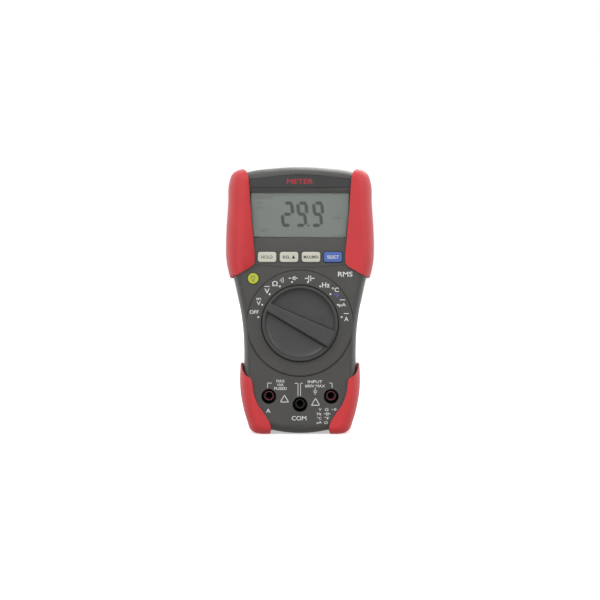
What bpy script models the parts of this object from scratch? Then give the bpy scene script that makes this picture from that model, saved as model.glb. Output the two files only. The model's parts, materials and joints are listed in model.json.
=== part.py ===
"""A hand-held digital multimeter, standing on its foot with its display facing -Y.

Metres, +Z up, +X to the right of someone who reads the display. The origin is the
middle of the foot, halfway through the depth.
"""

import math

import bmesh
import bpy
from mathutils import Matrix, Vector

MM = 0.001
WELD = 0.002 * MM

# Overall sizes
BODY_HEIGHT = 160.3 * MM
UPPER_WIDTH = 89.8 * MM
WAIST_WIDTH = 67.8 * MM
LOWER_WIDTH = 72.8 * MM
OVERALL_DEPTH = 45.0 * MM

# How the depth is shared out
KNOB_RISE = 5.5 * MM
GRIP_BACK_STEP = 1.5 * MM
GRIP_FACE_STEP = 1.2 * MM
GRIP_PROUD = 2.2 * MM
PART_Y = 1.0 * MM
WALL = 2.2 * MM
GAP = 0.3 * MM

# Rounded edges of the case: how far each reaches in from the outline at the side, top
# and bottom, and how deep it is there, with its own depth at the foot
FRONT_EDGE = {"side": 4.8, "top": 6.5, "bottom": 5.4, "depth": 17.5, "foot": 5.4}
BACK_EDGE = {"side": 4.0, "top": 4.5, "bottom": 4.0, "depth": 4.0, "foot": 4.0}
GRIP_FRONT_EDGE = {"side": 7.5, "top": 5.7, "bottom": 5.0, "depth": 18.7, "foot": 6.0}
GRIP_BACK_EDGE = {"side": 7.5, "top": 5.0, "bottom": 5.0, "depth": 9.0, "foot": 6.0}
EDGE_STEPS = 4

# Outline of the case
TOP_ARCH_RADIUS = 167.0 * MM
BOTTOM_BULGE = 1.8 * MM
FOOT_GRIP_WIDTH = 19.4 * MM
WAIST_Z = 48.5 * MM
LOWER_WIDEST_Z = 28.5 * MM
FOOT_TAPER = 4.3 * MM
FOOT_SIDE_Z = 8.5 * MM
UPPER_WIDEST_DROP = 49.2 * MM
UPPER_TAPER = 2.5 * MM
TOP_SIDE_DROP = 9.2 * MM

# Range switch
DIAL_Z = 66.0 * MM
PLATEAU_RADIUS = 31.2 * MM
PLATEAU_RISE = 0.9 * MM
KNOB_RADIUS = 22.3 * MM
KNOB_GAP = 0.8 * MM
KNOB_RIM_DROP = 1.8 * MM
KNOB_RIM_EDGE = 0.8 * MM
KNOB_DISH_MARGIN = 2.2 * MM
KNOB_WELL_DEPTH = 1.7 * MM
KNOB_BAR_WIDTH = 7.8 * MM
KNOB_BAR_TAPER = 1.15 * MM
KNOB_DISH_DEPTH = 2.2 * MM
SHAFT_RADIUS = 5.5 * MM
SWITCH_POSITIONS = 20
SWITCH_PITCH = 360.0 / SWITCH_POSITIONS
REST_ANGLE = 153.0
ROTOR_RADIUS = 16.5 * MM
ROTOR_THICK = 2.4 * MM
DETENT_BALL_RADIUS = 1.1 * MM
DETENT_RING_WIDTH = 3.0 * MM

# Display
DISPLAY_TOP_DROP = 17.2 * MM
DISPLAY_HEIGHT = 26.0 * MM
DISPLAY_RECESS = 1.2 * MM
DISPLAY_LEDGE = 3.3 * MM
DISPLAY_RAMP = 7.0 * MM
WINDOW_THICK = 1.2 * MM
WINDOW_MARGIN = 0.6 * MM
PLATE_HEIGHT = 7.2 * MM
PLATE_THICK = 0.45 * MM
GLASS_THICK = 2.2 * MM
BACKLIGHT_THICK = 2.5 * MM
CONNECTOR_HEIGHT = 2.4 * MM
FRAME_WALL = 1.2 * MM

# Buttons
BUTTON_WIDTH = 11.1 * MM
BUTTON_HEIGHT = 6.2 * MM
BUTTON_PITCH = 13.0 * MM
BUTTON_CORNER = 1.0 * MM
BUTTON_RISE = 1.0 * MM
BUTTON_TRAVEL = 1.0 * MM
BUTTON_DROP = 11.9 * MM
BUTTON_LENGTH = 5.0 * MM
ROUND_BUTTON_RADIUS = 3.25 * MM
ROUND_BUTTON_X = -27.7 * MM
ROUND_BUTTON_DROP = 12.7 * MM
KEYPAD_THICK = 1.4 * MM

# Sockets
JACK_SPACING = 18.5 * MM
JACK_Z = 22.7 * MM
COM_DROP = 4.8 * MM
JACK_HOLE_RADIUS = 4.45 * MM
JACK_BARREL_WALL = 1.3 * MM
JACK_DEPTH = 21.0 * MM
JACK_COLLAR_RADIUS = 2.95 * MM
JACK_COLLAR_DEPTH = 5.0 * MM
JACK_CONTACT_RADIUS = 2.35 * MM
JACK_BORE_RADIUS = 2.02 * MM

# Circuit board and what is on it
BOARD_BEHIND_FACE = 9.5 * MM
BOARD_THICK = 1.6 * MM
BOARD_CLEARANCE = 2.0 * MM
BOARD_BOTTOM_Z = 12.6 * MM
BOARD_TOP_DROP = 14.3 * MM
FUSE_RADIUS = 3.2 * MM
FUSE_LENGTH = 32.0 * MM
FUSE_PITCH = 9.4 * MM
FUSE_Z = 35.3 * MM
BUZZER_RADIUS = 7.0 * MM
BUZZER_THICK = 4.0 * MM

# Battery bay and tilt stand
BATTERY_WIDTH = 26.5 * MM
BATTERY_HEIGHT = 48.5 * MM
BATTERY_DEPTH = 17.5 * MM
BATTERY_ROOM = 0.6 * MM
SNAP_HEIGHT = 5.0 * MM
BAY_Z = 59.0 * MM
BAY_WALL = 1.5 * MM
DOOR_THICK = 2.0 * MM
DOOR_OVERLAP = 2.2 * MM
DOOR_END = 8.0 * MM
DOOR_SCREW_INSET = 4.2 * MM
DOOR_CORNER = 2.0 * MM
STAND_THICK = 3.0 * MM
STAND_LEG = 6.8 * MM
STAND_BOTTOM_Z = 24.0 * MM
STAND_BAR = 9.0 * MM
STAND_CLEARANCE = 0.5 * MM
STAND_PIN_RADIUS = 1.2 * MM
STAND_PIN_LENGTH = 1.8 * MM
DOOR_TO_STAND = 3.0 * MM

# Screws
SCREW_RADIUS = 1.35 * MM
SCREW_HEAD_RADIUS = 2.6 * MM
SCREW_HEAD_THICK = 1.8 * MM
SCREW_DRIVE_RADIUS = 1.1 * MM
SCREW_ENGAGEMENT = 8.0 * MM
DOOR_SCREW_LENGTH = 7.5 * MM
COUNTERBORE_DEPTH = 3.4 * MM
BOSS_RADIUS = 3.6 * MM
UPPER_SCREW = (22.0 * MM, 9.4 * MM)
LOWER_SCREW = (11.0 * MM, 8.4 * MM)

# Worked out from the above
KNOB_FRONT_Y = -OVERALL_DEPTH / 2
FACE_Y = KNOB_FRONT_Y + KNOB_RISE
GRIP_BACK_Y = OVERALL_DEPTH / 2
BACK_Y = GRIP_BACK_Y - GRIP_BACK_STEP
GRIP_FRONT_Y = FACE_Y - GRIP_FACE_STEP
INNER_FACE_Y = FACE_Y + WALL
INNER_BACK_Y = BACK_Y - WALL
FOOT_Z = GRIP_PROUD
MIDDLE_Z = BODY_HEIGHT / 2
BOTTOM_BULGE_HALF = LOWER_WIDTH / 2 - FOOT_GRIP_WIDTH
CLEAR_OF_CASE = 15.0 * MM
DISPLAY_TOP_Z = BODY_HEIGHT - DISPLAY_TOP_DROP
DISPLAY_BOTTOM_Z = DISPLAY_TOP_Z - DISPLAY_HEIGHT
BUTTON_Z = DISPLAY_BOTTOM_Z - BUTTON_DROP
ROUND_BUTTON_Z = BUTTON_Z - ROUND_BUTTON_DROP
COM_Z = JACK_Z - COM_DROP
BOARD_Y = FACE_Y + BOARD_BEHIND_FACE
BOARD_BACK_Y = BOARD_Y + BOARD_THICK
BOARD_TOP_Z = BODY_HEIGHT - BOARD_TOP_DROP
JACKS = {"a": (-JACK_SPACING, JACK_Z), "com": (0.0, COM_Z), "v": (JACK_SPACING, JACK_Z)}
BAY_TOP_Z = BAY_Z + BATTERY_HEIGHT + SNAP_HEIGHT + 2 * BATTERY_ROOM
BAY_HALF = BATTERY_WIDTH / 2 + BATTERY_ROOM
DOOR_Y = BACK_Y - DOOR_THICK
DOOR_HALF = BAY_HALF + DOOR_OVERLAP
DOOR_BOTTOM_Z = BAY_Z - DOOR_END
DOOR_TOP_Z = BAY_TOP_Z + DOOR_END
BATTERY_BACK_Y = DOOR_Y - 2 * GAP
BATTERY_FRONT_Y = BATTERY_BACK_Y - BATTERY_DEPTH
STAND_INNER = DOOR_HALF + DOOR_TO_STAND
STAND_OUTER = STAND_INNER + STAND_LEG
STAND_Y = BACK_Y - STAND_THICK
HINGE_Y = BACK_Y - STAND_THICK / 2
HINGE_Z = DOOR_TOP_Z - STAND_THICK
STAND_FLOOR_Y = STAND_Y - STAND_CLEARANCE
STAND_BLOCK_Y = STAND_FLOOR_Y - WALL
SCREWS = {
    "upper_left": (-UPPER_SCREW[0], BODY_HEIGHT - UPPER_SCREW[1]),
    "upper_right": (UPPER_SCREW[0], BODY_HEIGHT - UPPER_SCREW[1]),
    "lower_left": (-LOWER_SCREW[0], LOWER_SCREW[1]),
    "lower_right": (LOWER_SCREW[0], LOWER_SCREW[1]),
}
DOOR_SCREWS = {
    "upper": DOOR_TOP_Z - DOOR_SCREW_INSET,
    "lower": DOOR_BOTTOM_Z + DOOR_SCREW_INSET,
}

# Colour, roughness and metallic value of each finish
FINISHES = {
    "case grey": ((0.105, 0.105, 0.10), 0.55, 0.0),
    "grip red": ((0.62, 0.055, 0.065), 0.6, 0.0),
    "knob grey": ((0.085, 0.085, 0.085), 0.5, 0.0),
    "plate black": ((0.06, 0.06, 0.065), 0.4, 0.0),
    "clear": ((0.75, 0.8, 0.78), 0.1, 0.0),
    "display grey": ((0.19, 0.21, 0.19), 0.3, 0.0),
    "light guide": ((0.8, 0.82, 0.8), 0.3, 0.0),
    "key cream": ((0.62, 0.6, 0.52), 0.5, 0.0),
    "key blue": ((0.09, 0.16, 0.45), 0.5, 0.0),
    "key yellow": ((0.5, 0.52, 0.05), 0.5, 0.0),
    "black": ((0.02, 0.02, 0.02), 0.5, 0.0),
    "socket red": ((0.12, 0.015, 0.035), 0.4, 0.0),
    "brass": ((0.75, 0.58, 0.28), 0.3, 1.0),
    "steel": ((0.6, 0.6, 0.6), 0.3, 1.0),
    "board green": ((0.03, 0.2, 0.08), 0.4, 0.0),
    "rubber grey": ((0.3, 0.3, 0.3), 0.7, 0.0),
    "ceramic": ((0.8, 0.79, 0.74), 0.4, 0.0),
    "battery": ((0.1, 0.1, 0.12), 0.35, 0.3),
}

# A flat outline's (u, v) plane stands facing along one of the axes.
FACING = {
    "X": Matrix(((0, 0, 1, 0), (1, 0, 0, 0), (0, 1, 0, 0), (0, 0, 0, 1))),
    "Y": Matrix(((1, 0, 0, 0), (0, 0, -1, 0), (0, 1, 0, 0), (0, 0, 0, 1))),
    "Z": Matrix.Identity(4),
}

parts = bpy.data.collections.new("multimeter")
cutters = bpy.data.collections.new("cutters")


# ---------------------------------------------------------------- building blocks


def clear_scene():
    for obj in list(bpy.data.objects):
        bpy.data.objects.remove(obj)
    for collection in (parts, cutters):
        bpy.context.scene.collection.children.link(collection)


def solid(name, mesh):
    """A helper solid, which is not yet a piece of the meter."""
    obj = bpy.data.objects.new(name, mesh)
    cutters.objects.link(obj)
    obj.hide_render = True
    obj.display_type = "WIRE"
    return obj


def from_bmesh(name, bm):
    bmesh.ops.remove_doubles(bm, verts=bm.verts, dist=1e-7)
    bmesh.ops.recalc_face_normals(bm, faces=bm.faces)
    mesh = bpy.data.meshes.new(name)
    bm.to_mesh(mesh)
    bm.free()
    return solid(name, mesh)


def evaluated_mesh(obj):
    bpy.context.view_layer.update()
    graph = bpy.context.evaluated_depsgraph_get()
    return bpy.data.meshes.new_from_object(obj.evaluated_get(graph))


def prism(name, outline, start, end, along="Y"):
    """A flat outline extruded from start to end along an axis."""
    curve = bpy.data.curves.new(name, "CURVE")
    curve.dimensions = "2D"
    curve.fill_mode = "BOTH"
    curve.extrude = abs(end - start) / 2
    spline = curve.splines.new("POLY")
    spline.points.add(len(outline) - 1)
    for point, (u, v) in zip(spline.points, outline):
        point.co = (u, v, 0.0, 1.0)
    spline.use_cyclic_u = True
    guide = solid(name + "_outline", curve)
    middle = {"X": Vector((1, 0, 0)), "Y": Vector((0, 1, 0)), "Z": Vector((0, 0, 1))}[along]
    guide.matrix_world = Matrix.Translation(middle * (start + end) / 2) @ FACING[along]
    bm = bmesh.new()
    bm.from_mesh(evaluated_mesh(guide))
    bm.transform(guide.matrix_world)
    bpy.data.objects.remove(guide)
    return from_bmesh(name, bm)


def turned(name, profile, x, z, steps=20):
    """A profile of (radius, y) points, turned about a line along Y through (x, z)."""
    mesh = bpy.data.meshes.new(name)
    points = [(radius, 0.0, -y) for radius, y in profile]
    closed = min(radius for radius, y in profile) > 0
    edges = [(i, i + 1) for i in range(len(points) - 1)]
    if closed:
        edges.append((len(points) - 1, 0))
    mesh.from_pydata(points, edges, [])
    guide = solid(name + "_profile", mesh)
    screw = guide.modifiers.new("turn", "SCREW")
    screw.axis = "Z"
    screw.steps = steps
    screw.render_steps = steps
    screw.use_merge_vertices = True
    screw.merge_threshold = 0.000001
    bm = bmesh.new()
    bm.from_mesh(evaluated_mesh(guide))
    bm.transform(Matrix.Translation((x, 0, z)) @ FACING["Y"])
    bpy.data.objects.remove(guide)
    return from_bmesh(name, bm)


def rod(name, x, z, radius, start, end, steps=20):
    return turned(name, [(0.0, start), (radius, start), (radius, end), (0.0, end)], x, z, steps)


def tube(name, x, z, inner, outer, start, end, steps=20):
    profile = [(inner, start), (outer, start), (outer, end), (inner, end)]
    return turned(name, profile, x, z, steps)


def box(name, low, high):
    bm = bmesh.new()
    bmesh.ops.create_cube(bm, size=1.0)
    size = Vector(high) - Vector(low)
    bmesh.ops.scale(bm, vec=size, verts=bm.verts)
    bmesh.ops.translate(bm, vec=(Vector(low) + Vector(high)) / 2, verts=bm.verts)
    return from_bmesh(name, bm)


def tidy_faces(bm):
    """Welds what a Boolean leaves a hair apart, and joins its flat faces again."""
    bmesh.ops.remove_doubles(bm, verts=bm.verts, dist=WELD)
    bmesh.ops.dissolve_degenerate(bm, edges=bm.edges, dist=WELD)
    flat = math.radians(0.05)
    bmesh.ops.dissolve_limit(bm, angle_limit=flat, verts=bm.verts, edges=bm.edges)


def combine(target, other, operation):
    """Applies one Boolean to target and removes the helper."""
    modifier = target.modifiers.new(operation, "BOOLEAN")
    modifier.operation = operation
    modifier.solver = "EXACT"
    modifier.object = other
    bm = bmesh.new()
    bm.from_mesh(evaluated_mesh(target))
    tidy_faces(bm)
    target.modifiers.clear()
    target.data = bpy.data.meshes.new(target.name)
    bm.to_mesh(target.data)
    bm.free()
    bpy.data.objects.remove(other)
    return target


def cut(target, other):
    return combine(target, other, "DIFFERENCE")


def keep(target, other):
    return combine(target, other, "INTERSECT")


def join(target, other):
    return combine(target, other, "UNION")


def bevelled(obj, width, segments=2, angle=40.0):
    modifier = obj.modifiers.new("edges", "BEVEL")
    modifier.width = width
    modifier.segments = segments
    modifier.limit_method = "ANGLE"
    modifier.angle_limit = math.radians(angle)
    mesh = evaluated_mesh(obj)
    obj.modifiers.clear()
    obj.data = mesh
    return obj


def piece(obj, name, finish, origin=(0.0, 0.0, 0.0)):
    """Makes a helper solid a named piece, with its finish and its origin."""
    cutters.objects.unlink(obj)
    parts.objects.link(obj)
    obj.hide_render = False
    obj.display_type = "TEXTURED"
    obj.name = name
    obj.data.name = name
    colour, roughness, metallic = FINISHES[finish]
    material = bpy.data.materials.new(name + " " + finish)
    material.use_nodes = True
    shader = material.node_tree.nodes["Principled BSDF"]
    shader.inputs["Base Color"].default_value = (*colour, 1.0)
    shader.inputs["Roughness"].default_value = roughness
    shader.inputs["Metallic"].default_value = metallic
    obj.data.materials.clear()
    obj.data.materials.append(material)
    obj.data.transform(Matrix.Translation(-Vector(origin)))
    obj.location = origin
    obj.data.shade_smooth()
    obj.data.set_sharp_from_angle(angle=math.radians(30))
    return obj


def smooth_curve(stations, value):
    """A smooth curve through (place, height) stations, level at both ends."""
    places = [place for place, height in stations]
    heights = [height for place, height in stations]
    last = len(stations) - 1
    slopes = [0.0] * len(stations)
    for i in range(1, last):
        slopes[i] = (heights[i + 1] - heights[i - 1]) / (places[i + 1] - places[i - 1])
    value = min(max(value, places[0]), places[last])
    i = max(k for k in range(last) if places[k] <= value)
    span = places[i + 1] - places[i]
    t = (value - places[i]) / span
    return (
        heights[i] * (1 - t) ** 2 * (1 + 2 * t)
        + heights[i + 1] * t**2 * (3 - 2 * t)
        + span * (slopes[i] * t * (1 - t) ** 2 - slopes[i + 1] * t**2 * (1 - t))
    )


def rounded_rectangle(half_u, half_v, radius, centre=(0.0, 0.0), steps=3):
    points = []
    for quarter, (su, sv) in enumerate(((1, 1), (-1, 1), (-1, -1), (1, -1))):
        for step in range(steps + 1):
            angle = math.pi / 2 * (quarter + step / steps)
            points.append(
                (
                    centre[0] + su * (half_u - radius) + radius * math.cos(angle),
                    centre[1] + sv * (half_v - radius) + radius * math.sin(angle),
                )
            )
    return points


def mirrored(outline):
    return [(-u, v) for u, v in reversed(outline)]


# ---------------------------------------------------------------- the case's form


def case_half_width(z):
    """Half the width of the grey case, without its grips, at a height."""
    lower = LOWER_WIDTH / 2 - GRIP_PROUD
    upper = UPPER_WIDTH / 2 - GRIP_PROUD
    waist = WAIST_WIDTH / 2
    shoulder = BODY_HEIGHT - UPPER_WIDEST_DROP
    stations = [
        (FOOT_SIDE_Z, lower - FOOT_TAPER),
        (FOOT_SIDE_Z + 8.0 * MM, lower - FOOT_TAPER * 0.45),
        (LOWER_WIDEST_Z, lower),
        (WAIST_Z, waist),
        (DIAL_Z, waist + 0.115 * (upper - waist)),
        ((DIAL_Z + shoulder) / 2, waist + 0.59 * (upper - waist)),
        (shoulder, upper),
        (BODY_HEIGHT - UPPER_WIDEST_DROP / 2, upper - UPPER_TAPER / 2),
        (BODY_HEIGHT - TOP_SIDE_DROP, upper - UPPER_TAPER),
    ]
    return smooth_curve(stations, z)


def arch_top(x):
    return BODY_HEIGHT - x * x / (2 * TOP_ARCH_RADIUS)


def arch_bottom(x):
    share = min(abs(x) / BOTTOM_BULGE_HALF, 1.0)
    return FOOT_Z - BOTTOM_BULGE * (1 - share * share)


def corner(first, apex, last, steps=4):
    """A rounded corner between two points, which heads for apex from each."""
    points = []
    for step in range(1, steps):
        t = step / steps
        a, b, c = (1 - t) ** 2, 2 * t * (1 - t), t * t
        points.append(tuple(a * p + b * q + c * r for p, q, r in zip(first, apex, last)))
    return points


def case_outline():
    """The right half of the case's outline in (x, z), from the foot to the top."""
    top_side_z = BODY_HEIGHT - TOP_SIDE_DROP
    foot_x = case_half_width(FOOT_SIDE_Z)
    top_x = case_half_width(top_side_z)
    foot_end = (foot_x - 6.0 * MM, FOOT_Z)
    top_end_x = top_x - 8.0 * MM
    top_end = (top_end_x, arch_top(top_end_x))
    bottom = [BOTTOM_BULGE_HALF * share for share in (0.0, 0.35, 0.7, 1.0)]
    points = [(x, arch_bottom(x)) for x in bottom]
    points.append(foot_end)
    points += corner(foot_end, (foot_x - 0.9 * MM, FOOT_Z), (foot_x, FOOT_SIDE_Z))
    steps = 15
    for step in range(steps + 1):
        z = FOOT_SIDE_Z + (top_side_z - FOOT_SIDE_Z) * step / steps
        points.append((case_half_width(z), z))
    points += corner((top_x, top_side_z), (top_x, arch_top(top_x)), top_end)
    points += [(top_end_x * share, arch_top(top_end_x * share)) for share in (1.0, 0.66, 0.33, 0.0)]
    return points


def drawn_in(outline, side, top, bottom):
    """The outline drawn in by a distance at its sides, top and bottom (out, where negative)."""
    points = []
    for x, z in outline:
        if z > MIDDLE_Z:
            shift = top * (z - MIDDLE_Z) / (BODY_HEIGHT - MIDDLE_Z)
        else:
            shift = bottom * (z - MIDDLE_Z) / (MIDDLE_Z - FOOT_Z)
        points.append((x - side * min(x / case_half_width(z), 1.0), z - shift))
    return points


def rounded_share(depth, distance):
    """How much of a rounded edge's reach is used up at a distance behind its face."""
    rest = max(0.0, 1 - distance / depth)
    return 1 - math.sqrt(1 - rest * rest)


def case_form(name, inset, open_y, closed_y, edge):
    """The closed form of the case from its open plane to a face with rounded edges."""
    toward = 1 if closed_y > open_y else -1
    distances = [abs(closed_y - open_y)]
    for step in range(EDGE_STEPS + 1):
        angle = math.pi / 2 * step / EDGE_STEPS
        distances.append(edge["depth"] * MM * (1 - math.sin(angle)))
    half = case_outline()
    bm = bmesh.new()
    rings = []
    for distance in distances:
        share = rounded_share(edge["depth"] * MM, distance)
        foot_share = rounded_share(edge["foot"] * MM, distance)
        right = drawn_in(
            half,
            inset + edge["side"] * MM * share,
            inset + edge["top"] * MM * share,
            inset + edge["bottom"] * MM * foot_share,
        )
        outline = right + mirrored(right)[1:-1]
        y = closed_y - toward * distance
        rings.append([bm.verts.new((x, y, z)) for x, z in outline])
    count = len(rings[0])
    for near, far in zip(rings, rings[1:]):
        for i in range(count):
            k = (i + 1) % count
            bm.faces.new((near[i], near[k], far[k], far[i]))
    bm.faces.new(rings[0])
    bm.faces.new(rings[-1])
    return from_bmesh(name, bm)


def upper_grip_edge():
    """The inner edge of the right upper grip, downwards."""
    edge = UPPER_WIDTH / 2
    drops = ((14.2, 5.2), (15.8, 28.2), (17.5, 47.2), (18.1, 57.2))
    return [(edge - inset * MM, BODY_HEIGHT - drop * MM) for inset, drop in drops]


def upper_grip_region():
    """Where the right upper grip covers the case, seen from the front."""
    top = BODY_HEIGHT
    edge = UPPER_WIDTH / 2
    above = [
        (edge + CLEAR_OF_CASE, top + CLEAR_OF_CASE),
        (edge - 9.5 * MM, top + CLEAR_OF_CASE),
        (edge - 10.0 * MM, top - 1.0 * MM),
        (edge - 12.2 * MM, top - 2.0 * MM),
        (edge - 13.6 * MM, top - 3.4 * MM),
    ]
    below = [
        (edge - 17.6 * MM, top - 59.2 * MM),
        (edge - 6.1 * MM, top - 66.4 * MM),
        (edge - 3.9 * MM, top - 66.8 * MM),
        (edge + CLEAR_OF_CASE, top - 66.8 * MM),
    ]
    return above + upper_grip_edge() + below


def lower_grip_region():
    """Where the right lower grip covers the case, seen from the front."""
    edge = LOWER_WIDTH / 2
    return [
        (edge + CLEAR_OF_CASE, 43.0 * MM),
        (edge + 0.2 * MM, 43.0 * MM),
        (edge - 1.4 * MM, 40.5 * MM),
        (edge - 5.0 * MM, 35.5 * MM),
        (edge - 7.7 * MM, 33.1 * MM),
        (edge - 8.2 * MM, 25.5 * MM),
        (edge - 9.4 * MM, 20.5 * MM),
        (edge - 11.4 * MM, 15.7 * MM),
        (edge - 14.7 * MM, 11.1 * MM),
        (edge - 18.2 * MM, 6.5 * MM),
        (edge - 19.0 * MM, 4.6 * MM),
        (edge - 18.4 * MM, 2.0 * MM),
        (edge - 18.0 * MM, -CLEAR_OF_CASE),
        (edge + CLEAR_OF_CASE, -CLEAR_OF_CASE),
    ]


def grip_edge_x(z):
    """The inner edge of the upper grip at a height."""
    edge = upper_grip_edge()
    for (x1, z1), (x2, z2) in zip(edge, edge[1:]):
        if z2 <= z <= z1:
            return x2 + (x1 - x2) * (z - z2) / (z1 - z2)
    return edge[-1][0]


def between_grips(bottom, top, margin):
    """The outline between the upper grips from one height to another."""
    steps = 4
    right = []
    for step in range(steps + 1):
        z = bottom + (top - bottom) * step / steps
        right.append((grip_edge_x(z) - margin, z))
    return right + mirrored(right)


def make_grips():
    regions = {"upper": upper_grip_region(), "lower": lower_grip_region()}
    halves = {
        "front": (PART_Y - GAP / 2, GRIP_FRONT_Y, GRIP_FRONT_EDGE, FACE_Y - GAP, FRONT_EDGE),
        "rear": (PART_Y + GAP / 2, GRIP_BACK_Y, GRIP_BACK_EDGE, BACK_Y + GAP, BACK_EDGE),
    }
    for half, (open_y, closed_y, edge, core_y, core_edge) in halves.items():
        beyond = open_y + (WALL if half == "front" else -WALL)
        for level, region in regions.items():
            for side in ("left", "right"):
                outline = mirrored(region) if side == "left" else region
                grip = case_form("grip", -GRIP_PROUD, open_y, closed_y, edge)
                keep(grip, prism("region", outline, -OVERALL_DEPTH, OVERALL_DEPTH))
                cut(grip, case_form("core", -GAP, beyond, core_y, core_edge))
                piece(grip, f"grip_{level}_{side}_{half}", "grip red")


# ---------------------------------------------------------------- the case's halves


def boss_cutters(cavity, depth):
    """Leaves a solid boss in the cavity round each case screw."""
    for x, z in SCREWS.values():
        cut(cavity, rod("boss", x, z, BOSS_RADIUS, -depth, depth, steps=16))


def display_recess():
    """The shallow trough that holds the display, with a ledge above and a ramp below."""
    floor = FACE_Y + DISPLAY_RECESS
    profile = [
        (FACE_Y, DISPLAY_BOTTOM_Z - DISPLAY_RAMP),
        (floor, DISPLAY_BOTTOM_Z),
        (floor, DISPLAY_TOP_Z),
        (FACE_Y, DISPLAY_TOP_Z + DISPLAY_LEDGE),
        (-OVERALL_DEPTH, DISPLAY_TOP_Z + DISPLAY_LEDGE),
        (-OVERALL_DEPTH, DISPLAY_BOTTOM_Z - DISPLAY_RAMP),
    ]
    trough = prism("trough", profile, -UPPER_WIDTH, UPPER_WIDTH, along="X")
    low = DISPLAY_BOTTOM_Z - 2 * DISPLAY_RAMP
    high = DISPLAY_TOP_Z + 2 * DISPLAY_LEDGE
    sides = between_grips(low, high, GAP)
    return keep(trough, prism("sides", sides, -2 * OVERALL_DEPTH, OVERALL_DEPTH))


def window_outline(grow=0.0):
    margin = WINDOW_MARGIN - grow
    return between_grips(DISPLAY_BOTTOM_Z - grow, DISPLAY_TOP_Z + grow, margin)


def plate_outline(grow=0.0):
    """The name plate, whose top edge follows the arch of the case."""
    low = DISPLAY_TOP_Z + DISPLAY_LEDGE + GAP - grow
    high = low + PLATE_HEIGHT + 2 * grow
    bottom_x = grip_edge_x(low) - 2 * GAP + grow
    top_x = grip_edge_x(high) - 2 * GAP + grow
    points = [(-bottom_x, low), (bottom_x, low)]
    steps = 6
    for step in range(steps + 1):
        x = top_x * (1 - 2 * step / steps)
        points.append((x, high + arch_top(x) - BODY_HEIGHT))
    return points


def button_places():
    """Each rectangular button's name, finish and centre."""
    names = ("hold_button", "relative_button", "min_max_button", "select_button")
    finishes = ("key cream", "key cream", "key cream", "key blue")
    for number, (name, finish) in enumerate(zip(names, finishes)):
        yield name, finish, (number - 1.5) * BUTTON_PITCH


def button_outline(x, grow=0.0):
    half = (BUTTON_WIDTH / 2 + grow, BUTTON_HEIGHT / 2 + grow)
    return rounded_rectangle(*half, BUTTON_CORNER + grow, (x, BUTTON_Z))


def make_front_case():
    case = case_form("front", 0.0, PART_Y - GAP / 2, FACE_Y, FRONT_EDGE)
    top = FACE_Y - PLATEAU_RISE
    lip = PLATEAU_RISE / 2
    profile = [
        (0.0, top),
        (PLATEAU_RADIUS - lip, top),
        (PLATEAU_RADIUS, top + lip),
        (PLATEAU_RADIUS, FACE_Y + PLATEAU_RISE),
        (0.0, FACE_Y + PLATEAU_RISE),
    ]
    plateau = turned("plateau", profile, 0.0, DIAL_Z, steps=56)
    keep(plateau, case_form("bound", 0.0, PART_Y, top - GAP, FRONT_EDGE))
    join(case, plateau)

    cavity = case_form("cavity", WALL, PART_Y + WALL, INNER_FACE_Y, FRONT_EDGE)
    boss_cutters(cavity, OVERALL_DEPTH)
    cut(case, cavity)
    for x, z in SCREWS.values():
        depth = PART_Y - SCREW_ENGAGEMENT - GAP
        cut(case, rod("pilot", x, z, SCREW_RADIUS + GAP, depth, PART_Y + WALL, steps=16))

    cut(case, display_recess())
    opening = window_outline(grow=GAP)
    cut(case, prism("opening", opening, -OVERALL_DEPTH, INNER_FACE_Y + WALL))
    pocket_y = FACE_Y + PLATE_THICK + GAP
    cut(case, prism("pocket", plate_outline(grow=GAP), -OVERALL_DEPTH, pocket_y))

    well_y = FACE_Y - PLATEAU_RISE + KNOB_WELL_DEPTH
    well_radius = KNOB_RADIUS + KNOB_GAP
    cut(case, rod("well", 0.0, DIAL_Z, well_radius, -OVERALL_DEPTH, well_y, steps=48))
    bore = SHAFT_RADIUS + GAP
    cut(case, rod("bore", 0.0, DIAL_Z, bore, -OVERALL_DEPTH, INNER_FACE_Y + WALL))

    for _, _, x in button_places():
        hole = button_outline(x, grow=GAP)
        cut(case, prism("key_hole", hole, -OVERALL_DEPTH, INNER_FACE_Y + WALL))
    hole = (ROUND_BUTTON_X, ROUND_BUTTON_Z, ROUND_BUTTON_RADIUS + GAP)
    cut(case, rod("key_hole", *hole, -OVERALL_DEPTH, INNER_FACE_Y + WALL))
    for x, z in JACKS.values():
        hole = (x, z, JACK_HOLE_RADIUS)
        cut(case, rod("socket", *hole, -OVERALL_DEPTH, INNER_FACE_Y + WALL, steps=24))
    piece(case, "front_case", "case grey")


def stand_outline(grow=0.0):
    """The U of the tilt stand in (x, z), with its pins' height as its top."""
    outer = STAND_OUTER + grow
    inner = STAND_INNER - grow
    low = STAND_BOTTOM_Z - grow
    bar = STAND_BOTTOM_Z + STAND_BAR + grow
    top = HINGE_Z + STAND_THICK / 2 + grow
    chamfer = STAND_LEG / 2
    right = [
        (outer - chamfer, low),
        (outer, low + chamfer),
        (outer, top),
        (inner, top),
        (inner, bar + chamfer),
        (inner - chamfer, bar),
    ]
    return right + mirrored(right)


def stand_pins(name, radius, length):
    """The two hinge pins, on the outer sides of the stand's legs, as one pair of rods."""
    for side in (-1, 1):
        inner = side * (STAND_OUTER - MM)
        outer = side * (STAND_OUTER + length)
        yield x_rod(name, inner, outer, HINGE_Y, HINGE_Z, radius)


def x_rod(name, start, end, y, z, radius, steps=16):
    """A rod along X."""
    points = []
    for step in range(steps):
        angle = 2 * math.pi * step / steps
        points.append((y + radius * math.cos(angle), z + radius * math.sin(angle)))
    return prism(name, points, start, end, along="X")


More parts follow.
